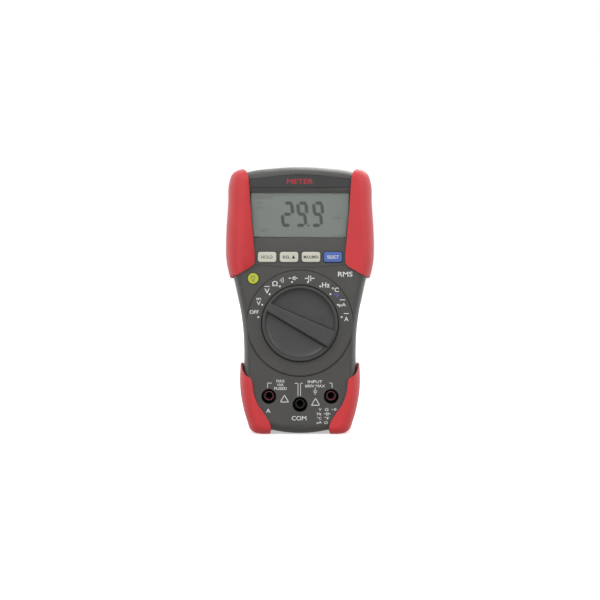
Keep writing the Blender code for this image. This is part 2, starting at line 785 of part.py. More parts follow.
def make_rear_case():
    case = case_form("rear", 0.0, PART_Y + GAP / 2, BACK_Y, BACK_EDGE)
    cavity = case_form("cavity", WALL, PART_Y - WALL, INNER_BACK_Y, BACK_EDGE)
    boss_cutters(cavity, OVERALL_DEPTH)
    bay_half = BAY_HALF + BAY_WALL
    bay_front = BATTERY_FRONT_Y - GAP - BAY_WALL
    bay_low = (-bay_half, bay_front, DOOR_BOTTOM_Z - BAY_WALL)
    bay_high = (bay_half, OVERALL_DEPTH, DOOR_TOP_Z + BAY_WALL)
    stand_low = (-STAND_OUTER - WALL, STAND_BLOCK_Y, STAND_BOTTOM_Z - WALL)
    stand_high = (STAND_OUTER + WALL, OVERALL_DEPTH, HINGE_Z + STAND_THICK + WALL)
    cut(cavity, box("stand_block", stand_low, stand_high))
    cut(cavity, box("bay_block", bay_low, bay_high))
    cut(case, cavity)
    tub = box("tub", bay_low, (bay_half, INNER_BACK_Y, DOOR_TOP_Z + BAY_WALL))
    join(case, tub)

    pocket_low = (-BAY_HALF, BATTERY_FRONT_Y - GAP, BAY_Z)
    cut(case, box("pocket", pocket_low, (BAY_HALF, OVERALL_DEPTH, BAY_TOP_Z)))
    cut(case, prism("door_seat", door_outline(grow=GAP), DOOR_Y - GAP, OVERALL_DEPTH))
    for z in DOOR_SCREWS.values():
        pilot = DOOR_Y - DOOR_SCREW_LENGTH
        cut(case, rod("pilot", 0.0, z, SCREW_RADIUS + GAP, pilot, BACK_Y, steps=16))
    recess = stand_outline(grow=STAND_CLEARANCE)
    cut(case, prism("stand_recess", recess, STAND_FLOOR_Y, OVERALL_DEPTH))
    length = STAND_PIN_LENGTH + GAP
    for hole in stand_pins("pin_hole", STAND_PIN_RADIUS + GAP, length):
        cut(case, hole)
    head_y = BACK_Y - COUNTERBORE_DEPTH
    for x, z in SCREWS.values():
        cut(case, rod("clear", x, z, SCREW_RADIUS + GAP, -OVERALL_DEPTH, BACK_Y, steps=16))
        head = SCREW_HEAD_RADIUS + GAP
        cut(case, rod("counterbore", x, z, head, head_y, OVERALL_DEPTH))
    piece(case, "rear_case", "case grey")


# ---------------------------------------------------------------- display and buttons


def make_display():
    window_y = FACE_Y + DISPLAY_RECESS + MM / 10
    window = prism("window", window_outline(), window_y, window_y + WINDOW_THICK)
    piece(window, "display_window", "clear")
    plate = prism("plate", plate_outline(), FACE_Y, FACE_Y + PLATE_THICK)
    piece(plate, "name_plate", "plate black")

    low_z = DISPLAY_BOTTOM_Z - CONNECTOR_HEIGHT
    high_z = DISPLAY_TOP_Z + CONNECTOR_HEIGHT
    half = grip_edge_x(DISPLAY_TOP_Z) - WINDOW_MARGIN
    glass_y = window_y + WINDOW_THICK + 2 * GAP
    glass_back = glass_y + GLASS_THICK
    glass = box("glass", (-half, glass_y, low_z), (half, glass_back, high_z))
    piece(bevelled(glass, MM / 5, 1), "lcd_glass", "display grey")

    light_y = glass_back + GAP
    light_back = light_y + BACKLIGHT_THICK
    low = (-half, light_y, DISPLAY_BOTTOM_Z + GAP)
    high = (half, light_back, DISPLAY_TOP_Z - GAP)
    piece(bevelled(box("light", low, high), MM / 3, 1), "backlight_plate", "light guide")
    for name, z in (("upper", DISPLAY_TOP_Z), ("lower", low_z)):
        low = (-half + MM, light_y, z)
        high = (half - MM, BOARD_Y - GAP, z + CONNECTOR_HEIGHT)
        strip = bevelled(box("strip", low, high), MM / 4, 1)
        piece(strip, f"lcd_connector_{name}", "rubber grey")

    inner = (half + GAP, low_z - GAP, high_z + GAP)
    outer = (inner[0] + FRAME_WALL, inner[1] - FRAME_WALL, inner[2] + FRAME_WALL)
    low = (-outer[0], glass_y - GAP, outer[1])
    frame = box("frame", low, (outer[0], BOARD_Y - GAP, outer[2]))
    through_low = (-inner[0], -OVERALL_DEPTH, inner[1])
    cut(frame, box("through", through_low, (inner[0], OVERALL_DEPTH, inner[2])))
    piece(frame, "lcd_frame", "black")


def make_buttons():
    front = FACE_Y - BUTTON_RISE
    back = front + BUTTON_LENGTH
    for name, finish, x in button_places():
        key = prism("key", button_outline(x), front, back)
        bevelled(key, MM / 2, 2, angle=50)
        piece(key, name, finish, (x, front, BUTTON_Z))
    radius = ROUND_BUTTON_RADIUS
    rim = MM / 2
    profile = [
        (0.0, front),
        (radius - rim, front),
        (radius - 0.3 * rim, front + 0.3 * rim),
        (radius, front + rim),
        (radius, back),
        (0.0, back),
    ]
    key = turned("key", profile, ROUND_BUTTON_X, ROUND_BUTTON_Z)
    origin = (ROUND_BUTTON_X, front, ROUND_BUTTON_Z)
    piece(key, "backlight_button", "key yellow", origin)


def make_keypad():
    """The switch mat, with a dome post under each button that reaches the board."""
    front = FACE_Y - BUTTON_RISE + BUTTON_LENGTH + BUTTON_TRAVEL + GAP
    back = front + KEYPAD_THICK
    right = 2 * BUTTON_PITCH
    left = ROUND_BUTTON_X - ROUND_BUTTON_RADIUS
    top = BUTTON_Z + BUTTON_HEIGHT / 2
    low = BUTTON_Z - BUTTON_HEIGHT / 2
    tab_right = ROUND_BUTTON_X + ROUND_BUTTON_RADIUS
    outline = [
        (right, top),
        (left, top),
        (left, ROUND_BUTTON_Z - ROUND_BUTTON_RADIUS),
        (tab_right, ROUND_BUTTON_Z - ROUND_BUTTON_RADIUS),
        (tab_right, low),
        (right, low),
    ]
    mat = prism("mat", outline, front, back)
    places = [(x, BUTTON_Z) for _, _, x in button_places()]
    places.append((ROUND_BUTTON_X, ROUND_BUTTON_Z))
    for x, z in places:
        join(mat, rod("post", x, z, 2 * MM, front + MM / 5, BOARD_Y - GAP, steps=12))
    piece(mat, "keypad_mat", "rubber grey")


# ---------------------------------------------------------------- range switch


def knob_direction(angle):
    """The unit vector in (x, z) of an angle on the dial, counted from +X towards +Z."""
    turn = math.radians(angle)
    return math.cos(turn), math.sin(turn)


def bar_outline(grow=0.0):
    """The knob's bar in (x, z): narrow at its pointer, wider at its tail."""
    along = knob_direction(REST_ANGLE)
    across = (-along[1], along[0])
    length = KNOB_RADIUS * 1.2
    front = KNOB_BAR_WIDTH / 2 - KNOB_BAR_TAPER + grow
    back = KNOB_BAR_WIDTH / 2 + KNOB_BAR_TAPER + grow
    corners = ((length, front), (length, -front), (-length, -back), (-length, back))
    outline = []
    for u, v in corners:
        outline.append((along[0] * u + across[0] * v, DIAL_Z + along[1] * u + across[1] * v))
    return outline


def make_knob():
    rim_y = KNOB_FRONT_Y + KNOB_RIM_DROP
    well_y = FACE_Y - PLATEAU_RISE + KNOB_WELL_DEPTH
    back_y = well_y - GAP
    shaft_end = INNER_FACE_Y + GAP + ROTOR_THICK
    edge = KNOB_RIM_EDGE
    profile = [
        (0.0, rim_y),
        (KNOB_RADIUS - 2 * edge, rim_y),
        (KNOB_RADIUS - 0.6 * edge, rim_y + 0.4 * edge),
        (KNOB_RADIUS, rim_y + 2 * edge),
        (KNOB_RADIUS, back_y),
        (SHAFT_RADIUS, back_y),
        (SHAFT_RADIUS, shaft_end),
        (0.0, shaft_end),
    ]
    knob = turned("knob", profile, 0.0, DIAL_Z, steps=48)
    dish_radius = KNOB_RADIUS - KNOB_DISH_MARGIN
    floor = rim_y + KNOB_DISH_DEPTH
    profile = [
        (0.0, -OVERALL_DEPTH),
        (dish_radius, -OVERALL_DEPTH),
        (dish_radius, rim_y),
        (dish_radius - 2 * MM, floor - 0.4 * MM),
        (dish_radius / 2, floor),
        (0.0, floor),
    ]
    dish = turned("dish", profile, 0.0, DIAL_Z, steps=48)
    cut(dish, prism("spare", bar_outline(), -2 * OVERALL_DEPTH, OVERALL_DEPTH))
    cut(knob, dish)
    bar = prism("bar", bar_outline(-MM / 10), KNOB_FRONT_Y, floor + MM)
    reach = KNOB_RADIUS - edge
    profile = [
        (0.0, -OVERALL_DEPTH),
        (reach - MM, -OVERALL_DEPTH),
        (reach - MM, KNOB_FRONT_Y),
        (reach, rim_y + edge),
        (reach, OVERALL_DEPTH),
        (0.0, OVERALL_DEPTH),
    ]
    keep(bar, turned("bound", profile, 0.0, DIAL_Z, steps=48))
    join(knob, bar)
    piece(knob, "range_knob", "knob grey", (0.0, FACE_Y, DIAL_Z))


def turned_about_dial(obj, angle):
    """Turns a helper about the dial's axis, anticlockwise as seen from the front."""
    turn = Matrix.Rotation(math.radians(-angle), 4, "Y")
    centre = Matrix.Translation((0, 0, DIAL_Z))
    obj.data.transform(centre @ turn @ centre.inverted())
    return obj


def coil(name, start, end, radius, wire, turns=4, points_a_turn=8):
    """A compression spring along X, as a wire at a radius about the dial's level."""
    curve = bpy.data.curves.new(name, "CURVE")
    curve.dimensions = "3D"
    curve.bevel_depth = wire
    curve.bevel_resolution = 1
    curve.use_fill_caps = True
    spline = curve.splines.new("POLY")
    count = turns * points_a_turn
    spline.points.add(count)
    for i, point in enumerate(spline.points):
        angle = 2 * math.pi * i / points_a_turn
        x = start + (end - start) * i / count
        point.co = (x, radius * math.cos(angle), DIAL_Z + radius * math.sin(angle), 1.0)
    guide = solid(name, curve)
    bm = bmesh.new()
    bm.from_mesh(evaluated_mesh(guide))
    bpy.data.objects.remove(guide)
    return from_bmesh(name, bm)


def make_rotor():
    """The rotor behind the knob, with sprung balls that click into the detent ring."""
    front = INNER_FACE_Y + GAP
    back = front + ROTOR_THICK
    middle = (front + back) / 2
    pivot = (0.0, front, DIAL_Z)
    rotor = tube("rotor", 0.0, DIAL_Z, SHAFT_RADIUS + GAP, ROTOR_RADIUS, front, back, steps=40)
    slot_start = SHAFT_RADIUS + 3 * MM
    half = DETENT_BALL_RADIUS + GAP
    ball_x = ROTOR_RADIUS
    for side, angle in (("left", 180.0), ("right", 0.0)):
        low = (slot_start, front - MM, DIAL_Z - half)
        high = (ROTOR_RADIUS + MM, back + MM, DIAL_Z + half)
        cut(rotor, turned_about_dial(box("slot", low, high), angle))
        wire = 0.18 * MM
        end = ball_x - DETENT_BALL_RADIUS - GAP - wire
        spring = coil("spring", slot_start + GAP + wire, end, DETENT_BALL_RADIUS - 0.25 * MM, wire)
        spring.data.transform(Matrix.Translation((0, middle, 0)))
        turned_about_dial(spring, angle)
        piece(spring, f"detent_spring_{side}", "steel", pivot)
        bm = bmesh.new()
        bmesh.ops.create_uvsphere(bm, u_segments=12, v_segments=6, radius=DETENT_BALL_RADIUS)
        bmesh.ops.translate(bm, vec=(ball_x, middle, DIAL_Z), verts=bm.verts)
        ball = turned_about_dial(from_bmesh("ball", bm), angle)
        piece(ball, f"detent_ball_{side}", "steel", pivot)
    piece(rotor, "rotor_disc", "light guide", pivot)

    tip = ROTOR_RADIUS + DETENT_BALL_RADIUS + GAP
    outline = []
    for notch in range(SWITCH_POSITIONS):
        for share, depth in ((-0.25, 0.0), (-0.08, 0.6), (0.08, 0.6), (0.25, 0.0)):
            x, z = knob_direction(SWITCH_PITCH * (notch + share))
            radius = tip + depth * MM
            outline.append((radius * x, DIAL_Z + radius * z))
    ring_outer = tip + DETENT_RING_WIDTH
    ring = rod("ring", 0.0, DIAL_Z, ring_outer, front, back, steps=40)
    cut(ring, prism("notches", outline, -OVERALL_DEPTH, OVERALL_DEPTH))
    piece(ring, "detent_ring", "black")

    for number, angle in enumerate((90.0, 210.0, 330.0), start=1):
        strip_wiper(number, angle, back + GAP, BOARD_Y - GAP, pivot)


def strip_wiper(number, angle, near, far, pivot):
    """A bent spring strip that bridges two tracks of the board."""
    strip = 0.4 * MM
    inner = SHAFT_RADIUS + 2.5 * MM
    outer = ROTOR_RADIUS - 1.5 * MM
    top = [(inner, far), (inner + 2 * MM, near), (outer - 2 * MM, near), (outer, far)]
    under = [(u, min(y + strip, far)) for u, y in top]
    outline = [
        top[0],
        top[1],
        top[2],
        top[3],
        (outer - strip * 1.6, far),
        (under[2][0] - strip, under[2][1]),
        (under[1][0] + strip, under[1][1]),
        (inner + strip * 1.6, far),
    ]
    width = 1.2 * MM
    wiper = prism("wiper", outline, -width, width, along="Z")
    wiper.data.transform(Matrix.Translation((0, 0, DIAL_Z)))
    turned_about_dial(wiper, angle)
    piece(wiper, f"wiper_contact_{number}", "brass", pivot)


# ---------------------------------------------------------------- sockets and board


def make_jacks():
    barrel_front = INNER_FACE_Y + GAP
    barrel_back = barrel_front + JACK_DEPTH - WALL
    outer = JACK_HOLE_RADIUS + JACK_BARREL_WALL
    collar_front = FACE_Y + JACK_COLLAR_DEPTH
    floor = barrel_back - 3 * MM
    for name, (x, z) in JACKS.items():
        profile = [
            (JACK_HOLE_RADIUS, barrel_front),
            (outer, barrel_front),
            (outer, barrel_back),
            (JACK_CONTACT_RADIUS + GAP, barrel_back),
            (JACK_CONTACT_RADIUS + GAP, floor),
            (JACK_HOLE_RADIUS, floor),
        ]
        barrel = turned("barrel", profile, x, z)
        piece(barrel, f"jack_barrel_{name}", "black")
        inner = JACK_CONTACT_RADIUS + GAP / 2
        collar = tube("collar", x, z, inner, JACK_COLLAR_RADIUS, collar_front, floor - GAP)
        finish = "black" if name == "com" else "socket red"
        piece(collar, f"jack_collar_{name}", finish)
        contact_front = collar_front + MM
        contact_back = barrel_back + 2 * MM
        profile = [
            (0.0, contact_back - 2 * MM),
            (JACK_BORE_RADIUS, contact_back - 3 * MM),
            (JACK_BORE_RADIUS, contact_front),
            (JACK_CONTACT_RADIUS, contact_front),
            (JACK_CONTACT_RADIUS, contact_back),
            (0.0, contact_back),
        ]
        contact = turned("contact", profile, x, z)
        piece(contact, f"jack_contact_{name}", "brass")


def make_board():
    """The board fills the case between the screw bosses, with holes for the sockets."""
    inset = WALL + BOARD_CLEARANCE
    steps = 12
    right = []
    for step in range(steps + 1):
        z = BOARD_BOTTOM_Z + (BOARD_TOP_Z - BOARD_BOTTOM_Z) * step / steps
        right.append((case_half_width(z) - inset, z))
    board = prism("board", right + mirrored(right), BOARD_Y, BOARD_BACK_Y)
    for x, z in JACKS.values():
        hole = JACK_HOLE_RADIUS + JACK_BARREL_WALL + GAP
        cut(board, rod("hole", x, z, hole, -OVERALL_DEPTH, OVERALL_DEPTH))
    piece(board, "main_board", "board green")


def make_fuses():
    base = BOARD_BACK_Y + GAP
    strip = 0.6 * MM
    centre_y = base + strip + GAP + FUSE_RADIUS
    for number, name in enumerate(("fuse_10a", "fuse_ma")):
        z = FUSE_Z + number * FUSE_PITCH
        half = FUSE_LENGTH / 2
        fuse = x_rod("fuse", -half, half, centre_y, z, FUSE_RADIUS, steps=20)
        bevelled(fuse, MM / 2, 1, angle=50)
        piece(fuse, name, "ceramic")
        inner = FUSE_RADIUS + GAP
        outer = inner + strip
        top = centre_y + FUSE_RADIUS * 0.8
        outline = [
            (base, z - outer),
            (base, z + outer),
            (top, z + outer),
            (top, z + inner),
            (base + strip, z + inner),
            (base + strip, z - inner),
            (top, z - inner),
            (top, z - outer),
        ]
        for side, sign in (("left", -1), ("right", 1)):
            ends = sorted((sign * (half - 6 * MM), sign * (half - MM)))
            clip = prism("clip", outline, *ends, along="X")
            piece(clip, f"{name}_clip_{side}", "brass")


def make_buzzer():
    x = BAY_HALF + BAY_WALL + BUZZER_RADIUS + MM
    z = (BAY_Z + BAY_TOP_Z) / 2
    front = BOARD_BACK_Y + GAP
    back = front + BUZZER_THICK
    profile = [
        (0.0, front),
        (BUZZER_RADIUS, front),
        (BUZZER_RADIUS, back),
        (BUZZER_RADIUS / 5, back),
        (BUZZER_RADIUS / 5, back - MM),
        (0.0, back - MM),
    ]
    piece(turned("buzzer", profile, x, z), "buzzer", "black")


# ---------------------------------------------------------------- battery and stand


def door_outline(grow=0.0):
    half_z = (DOOR_TOP_Z - DOOR_BOTTOM_Z) / 2
    centre = (0.0, (DOOR_TOP_Z + DOOR_BOTTOM_Z) / 2)
    return rounded_rectangle(DOOR_HALF + grow, half_z + grow, DOOR_CORNER + grow, centre)


def screw(name, x, z, head_y, length, origin=(0.0, 0.0, 0.0)):
    """A pan-head screw driven from the back, with a socket in its head."""
    tip = head_y - length
    profile = [
        (0.0, tip),
        (SCREW_RADIUS * 0.5, tip),
        (SCREW_RADIUS, tip + MM),
        (SCREW_RADIUS, head_y),
        (SCREW_HEAD_RADIUS, head_y),
        (SCREW_HEAD_RADIUS, head_y + SCREW_HEAD_THICK * 0.7),
        (SCREW_HEAD_RADIUS * 0.8, head_y + SCREW_HEAD_THICK),
        (SCREW_DRIVE_RADIUS, head_y + SCREW_HEAD_THICK),
        (SCREW_DRIVE_RADIUS, head_y + SCREW_HEAD_THICK * 0.4),
        (0.0, head_y + SCREW_HEAD_THICK * 0.4),
    ]
    piece(turned("screw", profile, x, z, steps=12), name, "steel", origin)


def make_battery():
    low = (-BATTERY_WIDTH / 2, BATTERY_FRONT_Y, BAY_Z + BATTERY_ROOM)
    top = low[2] + BATTERY_HEIGHT
    high = (BATTERY_WIDTH / 2, BATTERY_BACK_Y, top)
    piece(bevelled(box("battery", low, high), MM, 2), "battery_9v", "battery")
    half = BATTERY_WIDTH / 2 - MM
    snap_low = (-half, BATTERY_FRONT_Y + MM, top + GAP)
    snap_high = (half, BATTERY_BACK_Y - MM, BAY_TOP_Z - GAP)
    piece(bevelled(box("snap", snap_low, snap_high), MM, 2), "battery_snap", "black")


def make_door():
    door = prism("door", door_outline(), DOOR_Y, BACK_Y)
    seat = BACK_Y - SCREW_HEAD_THICK / 2
    origin = (0.0, BACK_Y, (DOOR_TOP_Z + DOOR_BOTTOM_Z) / 2)
    for z in DOOR_SCREWS.values():
        cut(door, rod("hole", 0.0, z, SCREW_RADIUS + GAP, -OVERALL_DEPTH, OVERALL_DEPTH))
        cut(door, rod("sink", 0.0, z, SCREW_HEAD_RADIUS + GAP, seat - GAP, OVERALL_DEPTH))
    piece(door, "battery_door", "case grey", origin)
    for name, z in DOOR_SCREWS.items():
        screw(f"door_screw_{name}", 0.0, z, seat, DOOR_SCREW_LENGTH, origin)


def make_stand():
    stand = prism("stand", stand_outline(), STAND_Y, BACK_Y)
    # The legs' ends are half round about the hinge, so that they clear the recess floor.
    radius = STAND_THICK / 2
    low = STAND_BOTTOM_Z - MM
    side_profile = [(STAND_Y - MM, low), (BACK_Y + MM, low)]
    steps = 8
    side_profile += [(BACK_Y + MM, HINGE_Z - MM), (BACK_Y, HINGE_Z)]
    for step in range(1, steps):
        angle = math.pi * step / steps
        side_profile.append((HINGE_Y + radius * math.cos(angle), HINGE_Z + radius * math.sin(angle)))
    side_profile += [(STAND_Y, HINGE_Z), (STAND_Y - MM, HINGE_Z - MM)]
    keep(stand, prism("ends", side_profile, -UPPER_WIDTH, UPPER_WIDTH, along="X"))
    for pin in stand_pins("pin", STAND_PIN_RADIUS, STAND_PIN_LENGTH):
        join(stand, pin)
    piece(stand, "tilt_stand", "case grey", (0.0, HINGE_Y, HINGE_Z))


def make_case_screws():
    head_y = BACK_Y - COUNTERBORE_DEPTH + GAP
    length = head_y - (PART_Y - SCREW_ENGAGEMENT)
    for name, (x, z) in SCREWS.items():
        screw(f"case_screw_{name}", x, z, head_y, length)


clear_scene()
make_front_case()
make_rear_case()
make_grips()
make_display()
make_buttons()
make_keypad()
make_knob()
make_rotor()
make_jacks()
make_board()
make_fuses()
make_buzzer()
make_battery()
make_door()
make_stand()
make_case_screws()
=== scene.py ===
"""A hand-held digital multimeter on a pale studio floor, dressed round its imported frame.

Metres, +Z up, the display facing -Y. The case halves, the soft grips, the knob, the
keys, the sockets and the tilt stand are modelled here at their finished quality, and
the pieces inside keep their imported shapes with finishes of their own.
"""

import json
import math

import bmesh
import bpy
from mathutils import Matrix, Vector


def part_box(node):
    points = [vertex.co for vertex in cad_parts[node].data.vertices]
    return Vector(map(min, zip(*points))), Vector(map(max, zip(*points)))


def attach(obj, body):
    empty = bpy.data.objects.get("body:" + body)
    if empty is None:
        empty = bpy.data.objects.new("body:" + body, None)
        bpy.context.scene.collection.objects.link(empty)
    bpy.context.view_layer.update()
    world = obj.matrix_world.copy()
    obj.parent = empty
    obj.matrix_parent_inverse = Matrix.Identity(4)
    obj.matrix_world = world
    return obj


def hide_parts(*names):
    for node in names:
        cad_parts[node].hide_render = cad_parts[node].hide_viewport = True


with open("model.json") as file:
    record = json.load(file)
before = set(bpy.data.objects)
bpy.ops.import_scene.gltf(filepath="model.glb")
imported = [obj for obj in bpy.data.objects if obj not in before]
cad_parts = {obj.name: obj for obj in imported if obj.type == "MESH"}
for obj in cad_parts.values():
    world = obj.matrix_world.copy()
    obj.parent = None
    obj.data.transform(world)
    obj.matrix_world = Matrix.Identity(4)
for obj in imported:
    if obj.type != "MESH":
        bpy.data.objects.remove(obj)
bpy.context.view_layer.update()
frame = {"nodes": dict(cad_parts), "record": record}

MM = 0.001
GAP = 0.3 * MM
QUARTER = math.pi / 2

# Depths, front to back, from the frame
KNOB_LOW, KNOB_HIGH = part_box("range_knob")
FACE_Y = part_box("name_plate")[0].y
PLATEAU_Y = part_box("front_case")[0].y
FRONT_OPEN_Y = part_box("front_case")[1].y
REAR_OPEN_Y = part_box("rear_case")[0].y
BACK_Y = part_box("rear_case")[1].y
GRIP_FRONT_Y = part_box("grip_upper_left_front")[0].y
GRIP_BACK_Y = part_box("grip_upper_left_rear")[1].y

# Heights and widths, from the frame
TOP_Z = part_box("front_case")[1].z
FOOT_Z = 2.2 * MM
MIDDLE_Z = TOP_Z / 2
CASE_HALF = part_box("front_case")[1].x
DIAL_Z = (KNOB_LOW.z + KNOB_HIGH.z) / 2
KNOB_RADIUS = KNOB_HIGH.x
WINDOW_LOW, WINDOW_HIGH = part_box("display_window")
PLATE_LOW, PLATE_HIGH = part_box("name_plate")
DOOR_LOW, DOOR_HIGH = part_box("battery_door")
STAND_LOW, STAND_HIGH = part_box("tilt_stand")

WALL = 2.2 * MM
PLATEAU_RADIUS = 31.2 * MM
WELL_DEPTH = 1.7 * MM
SHAFT_RADIUS = 5.5 * MM
GRIP_PROUD = 2.2 * MM
ROUNDING_STEPS = 10
RAMP_HEIGHT = 7.0 * MM
LEDGE_HEIGHT = 3.3 * MM
SCREW_HEAD_RADIUS = 2.6 * MM
INK = 0.06 * MM
LIGHT_FROM_BELOW = 0.4
DOT_RING = 24.9 * MM

# How far each face's rounded edge reaches in at the side, top and bottom, and how deep
# it is there, with its own depth at the foot, in millimetres
FRONT_EDGE = {"side": 4.8, "top": 6.5, "bottom": 5.4, "depth": 17.5, "foot": 5.4}
BACK_EDGE = {"side": 4.0, "top": 4.5, "bottom": 4.0, "depth": 4.0, "foot": 4.0}
GRIP_FRONT_EDGE = {"side": 7.5, "top": 5.7, "bottom": 5.0, "depth": 18.7, "foot": 6.0}
GRIP_BACK_EDGE = {"side": 7.5, "top": 5.0, "bottom": 5.0, "depth": 9.0, "foot": 6.0}


# ---------------------------------------------------------------- at the bench


def put_down():
    """Leaves nothing selected, in object mode."""
    if bpy.context.mode != "OBJECT":
        bpy.ops.object.mode_set(mode="OBJECT")
    bpy.ops.object.select_all(action="DESELECT")


def take(obj):
    put_down()
    obj.select_set(True)
    bpy.context.view_layer.objects.active = obj
    return obj


def named(name):
    obj = bpy.context.object
    obj.name = name
    obj.data.name = name
    return obj


def settle(obj):
    """Puts the object's place into its mesh."""
    take(obj)
    bpy.ops.object.transform_apply(location=True, rotation=True, scale=True)
    return obj


def edit(obj, kind="FACE", chosen="NONE"):
    """Opens the object for modelling, with everything or nothing chosen."""
    take(obj)
    bpy.ops.object.mode_set(mode="EDIT")
    bpy.ops.mesh.select_mode(type=kind)
    bpy.ops.mesh.select_all(action="SELECT" if chosen == "ALL" else "DESELECT")


def choose(obj, test, kind="faces"):
    """In edit mode, chooses the faces, edges or points whose middle passes a test."""
    bpy.ops.mesh.select_all(action="DESELECT")
    mesh = bmesh.from_edit_mesh(obj.data)
    for element in getattr(mesh, kind):
        if kind == "faces":
            middle = element.calc_center_median()
        elif kind == "edges":
            middle = (element.verts[0].co + element.verts[1].co) / 2
        else:
            middle = element.co
        if test(element, middle):
            element.select_set(True)
    bmesh.update_edit_mesh(obj.data)


def close_up(obj):
    """Ends the modelling with merged points and faces that look outwards."""
    bpy.ops.mesh.select_all(action="SELECT")
    bpy.ops.mesh.remove_doubles(threshold=0.002 * MM)
    bpy.ops.mesh.normals_make_consistent(inside=False)
    put_down()
    return obj


def modified(obj, kind, **settings):
    """Adds a modifier and applies it at once."""
    take(obj)
    modifier = obj.modifiers.new("work", kind)
    for name, value in settings.items():
        setattr(modifier, name, value)
    bpy.ops.object.modifier_apply(modifier=modifier.name)
    return obj


def carved(obj, tool, operation="DIFFERENCE"):
    """Cuts, joins or trims an object with a tool, which is used up."""
    modified(obj, "BOOLEAN", operation=operation, solver="EXACT", object=tool)
    bpy.data.objects.remove(tool)
    edit(obj, "VERT", "ALL")
    bpy.ops.mesh.remove_doubles(threshold=0.002 * MM)
    bpy.ops.mesh.dissolve_degenerate(threshold=0.002 * MM)
    put_down()
    return obj


def softened(obj, width, segments=2, angle=38.0):
    """Breaks the sharp edges, and keeps the flat faces flat in the light."""
    modified(
        obj,
        "BEVEL",
        width=width,
        segments=segments,
        limit_method="ANGLE",
        angle_limit=math.radians(angle),
        use_clamp_overlap=True,
        miter_outer="MITER_ARC",
    )
    take(obj)
    bpy.ops.object.shade_smooth_by_angle(angle=math.radians(angle))
    return modified(obj, "WEIGHTED_NORMAL", keep_sharp=True, weight=60)


def copied(obj, name):
    take(obj)
    bpy.ops.object.duplicate(linked=False)
    return named(name)


def moved(obj, x=0.0, y=0.0, z=0.0):
    take(obj)
    bpy.ops.transform.translate(value=(x, y, z))
    return settle(obj)


def reflected(obj, name):
    """A left-hand copy of a right-hand piece."""
    twin = copied(obj, name)
    bpy.ops.transform.resize(value=(-1, 1, 1), center_override=(0, 0, 0))
    settle(twin)
    edit(twin, "FACE", "ALL")
    return close_up(twin)


def joined(objects, name):
    put_down()
    for obj in objects:
        obj.select_set(True)
    bpy.context.view_layer.objects.active = objects[0]
    if len(objects) > 1:
        bpy.ops.object.join()
    return named(name)


# ---------------------------------------------------------------- simple stock


def rod(name, x, z, radius, start, end, sides=64):
    """A round bar along Y."""
    put_down()
    bpy.ops.mesh.primitive_cylinder_add(
        vertices=sides,
        radius=radius,
        depth=end - start,
        location=(x, (start + end) / 2, z),
        rotation=(QUARTER, 0, 0),
    )
    return settle(named(name))


def block(name, low, high):
    put_down()
    middle = (Vector(low) + Vector(high)) / 2
    bpy.ops.mesh.primitive_cube_add(size=1, location=middle, scale=Vector(high) - Vector(low))
    return settle(named(name))


def flat_face(name, knots, y, steps=6):
    """One face at a depth, whose edge runs smoothly through knots (x, z).

    A knot with a third value, "corner", keeps a sharp corner.
    """
    put_down()
    bpy.ops.curve.primitive_bezier_circle_add(location=(0, 0, 0))
    guide = named(name)
    guide.data.dimensions = "2D"
    guide.data.fill_mode = "NONE"
    guide.data.resolution_u = steps
    points = guide.data.splines[0].bezier_points
    points.add(len(knots) - len(points))
    for point, (x, z, *corner) in zip(points, knots):
        point.co = (x, z, 0)
        kind = "VECTOR" if corner else "AUTO"
        point.handle_left_type = kind
        point.handle_right_type = kind
    take(guide)
    bpy.ops.object.convert(target="MESH")
    guide.rotation_euler.x = QUARTER
    guide.location.y = y
    settle(guide)
    edit(guide, "VERT", "ALL")
    bpy.ops.mesh.remove_doubles(threshold=0.01 * MM)
    bpy.ops.mesh.edge_face_add()
    put_down()
    return guide


def slab(name, knots, start, end, steps=6):
    """A flat outline made solid from one depth to another."""
    obj = flat_face(name, knots, start, steps)
    edit(obj, "FACE", "ALL")
    bpy.ops.mesh.extrude_region_move(TRANSFORM_OT_translate={"value": (0, end - start, 0)})
    return close_up(obj)


def cornered(points):
    return [(x, z, "corner") for x, z in points]


def across(knots):
    """The same knots on the other side of the middle, in the other direction."""
    return [(-knot[0], *knot[1:]) for knot in reversed(knots)]


def rounded_panel(name, low, high, radius, steps=6):
    """An upright slab with rounded corners, filling a box."""
    obj = block(name, low, high)
    edit(obj, "EDGE")
    choose(obj, lambda edge, middle: is_along(edge, "y"), "edges")
    bpy.ops.mesh.bevel(offset=radius, segments=steps, affect="EDGES")
    return close_up(obj)


def is_along(edge, axis):
    run = edge.verts[1].co - edge.verts[0].co
    return abs(getattr(run, axis)) > 0.99 * run.length


def line_tool(name, points, radius):
    """A thin round rod through points, for cutting a fine line."""
    put_down()
    bpy.ops.curve.primitive_bezier_curve_add(location=(0, 0, 0))
    guide = named(name)
    guide.data.bevel_depth = radius
    guide.data.bevel_resolution = 2
    guide.data.resolution_u = 8
    guide.data.use_fill_caps = True
    knots = guide.data.splines[0].bezier_points
    knots.add(len(points) - len(knots))
    for knot, point in zip(knots, points):
        knot.co = point
        knot.handle_left_type = "AUTO"
        knot.handle_right_type = "AUTO"
    take(guide)
    bpy.ops.object.convert(target="MESH")
    edit(guide, "FACE", "ALL")
    return close_up(guide)


# ---------------------------------------------------------------- the form of the case


def side_width(z):
    """Half the case's width at a height, without the grips."""
    table = [(knot[1], knot[0]) for knot in SIDE_KNOTS]
    for (z1, x1), (z2, x2) in zip(table, table[1:]):
        if z <= z2:
            share = max(0.0, (z - z1) / (z2 - z1))
            ease = share * share * (3 - 2 * share)
            return x1 + (x2 - x1) * (0.5 * share + 0.5 * ease)
    return table[-1][1]


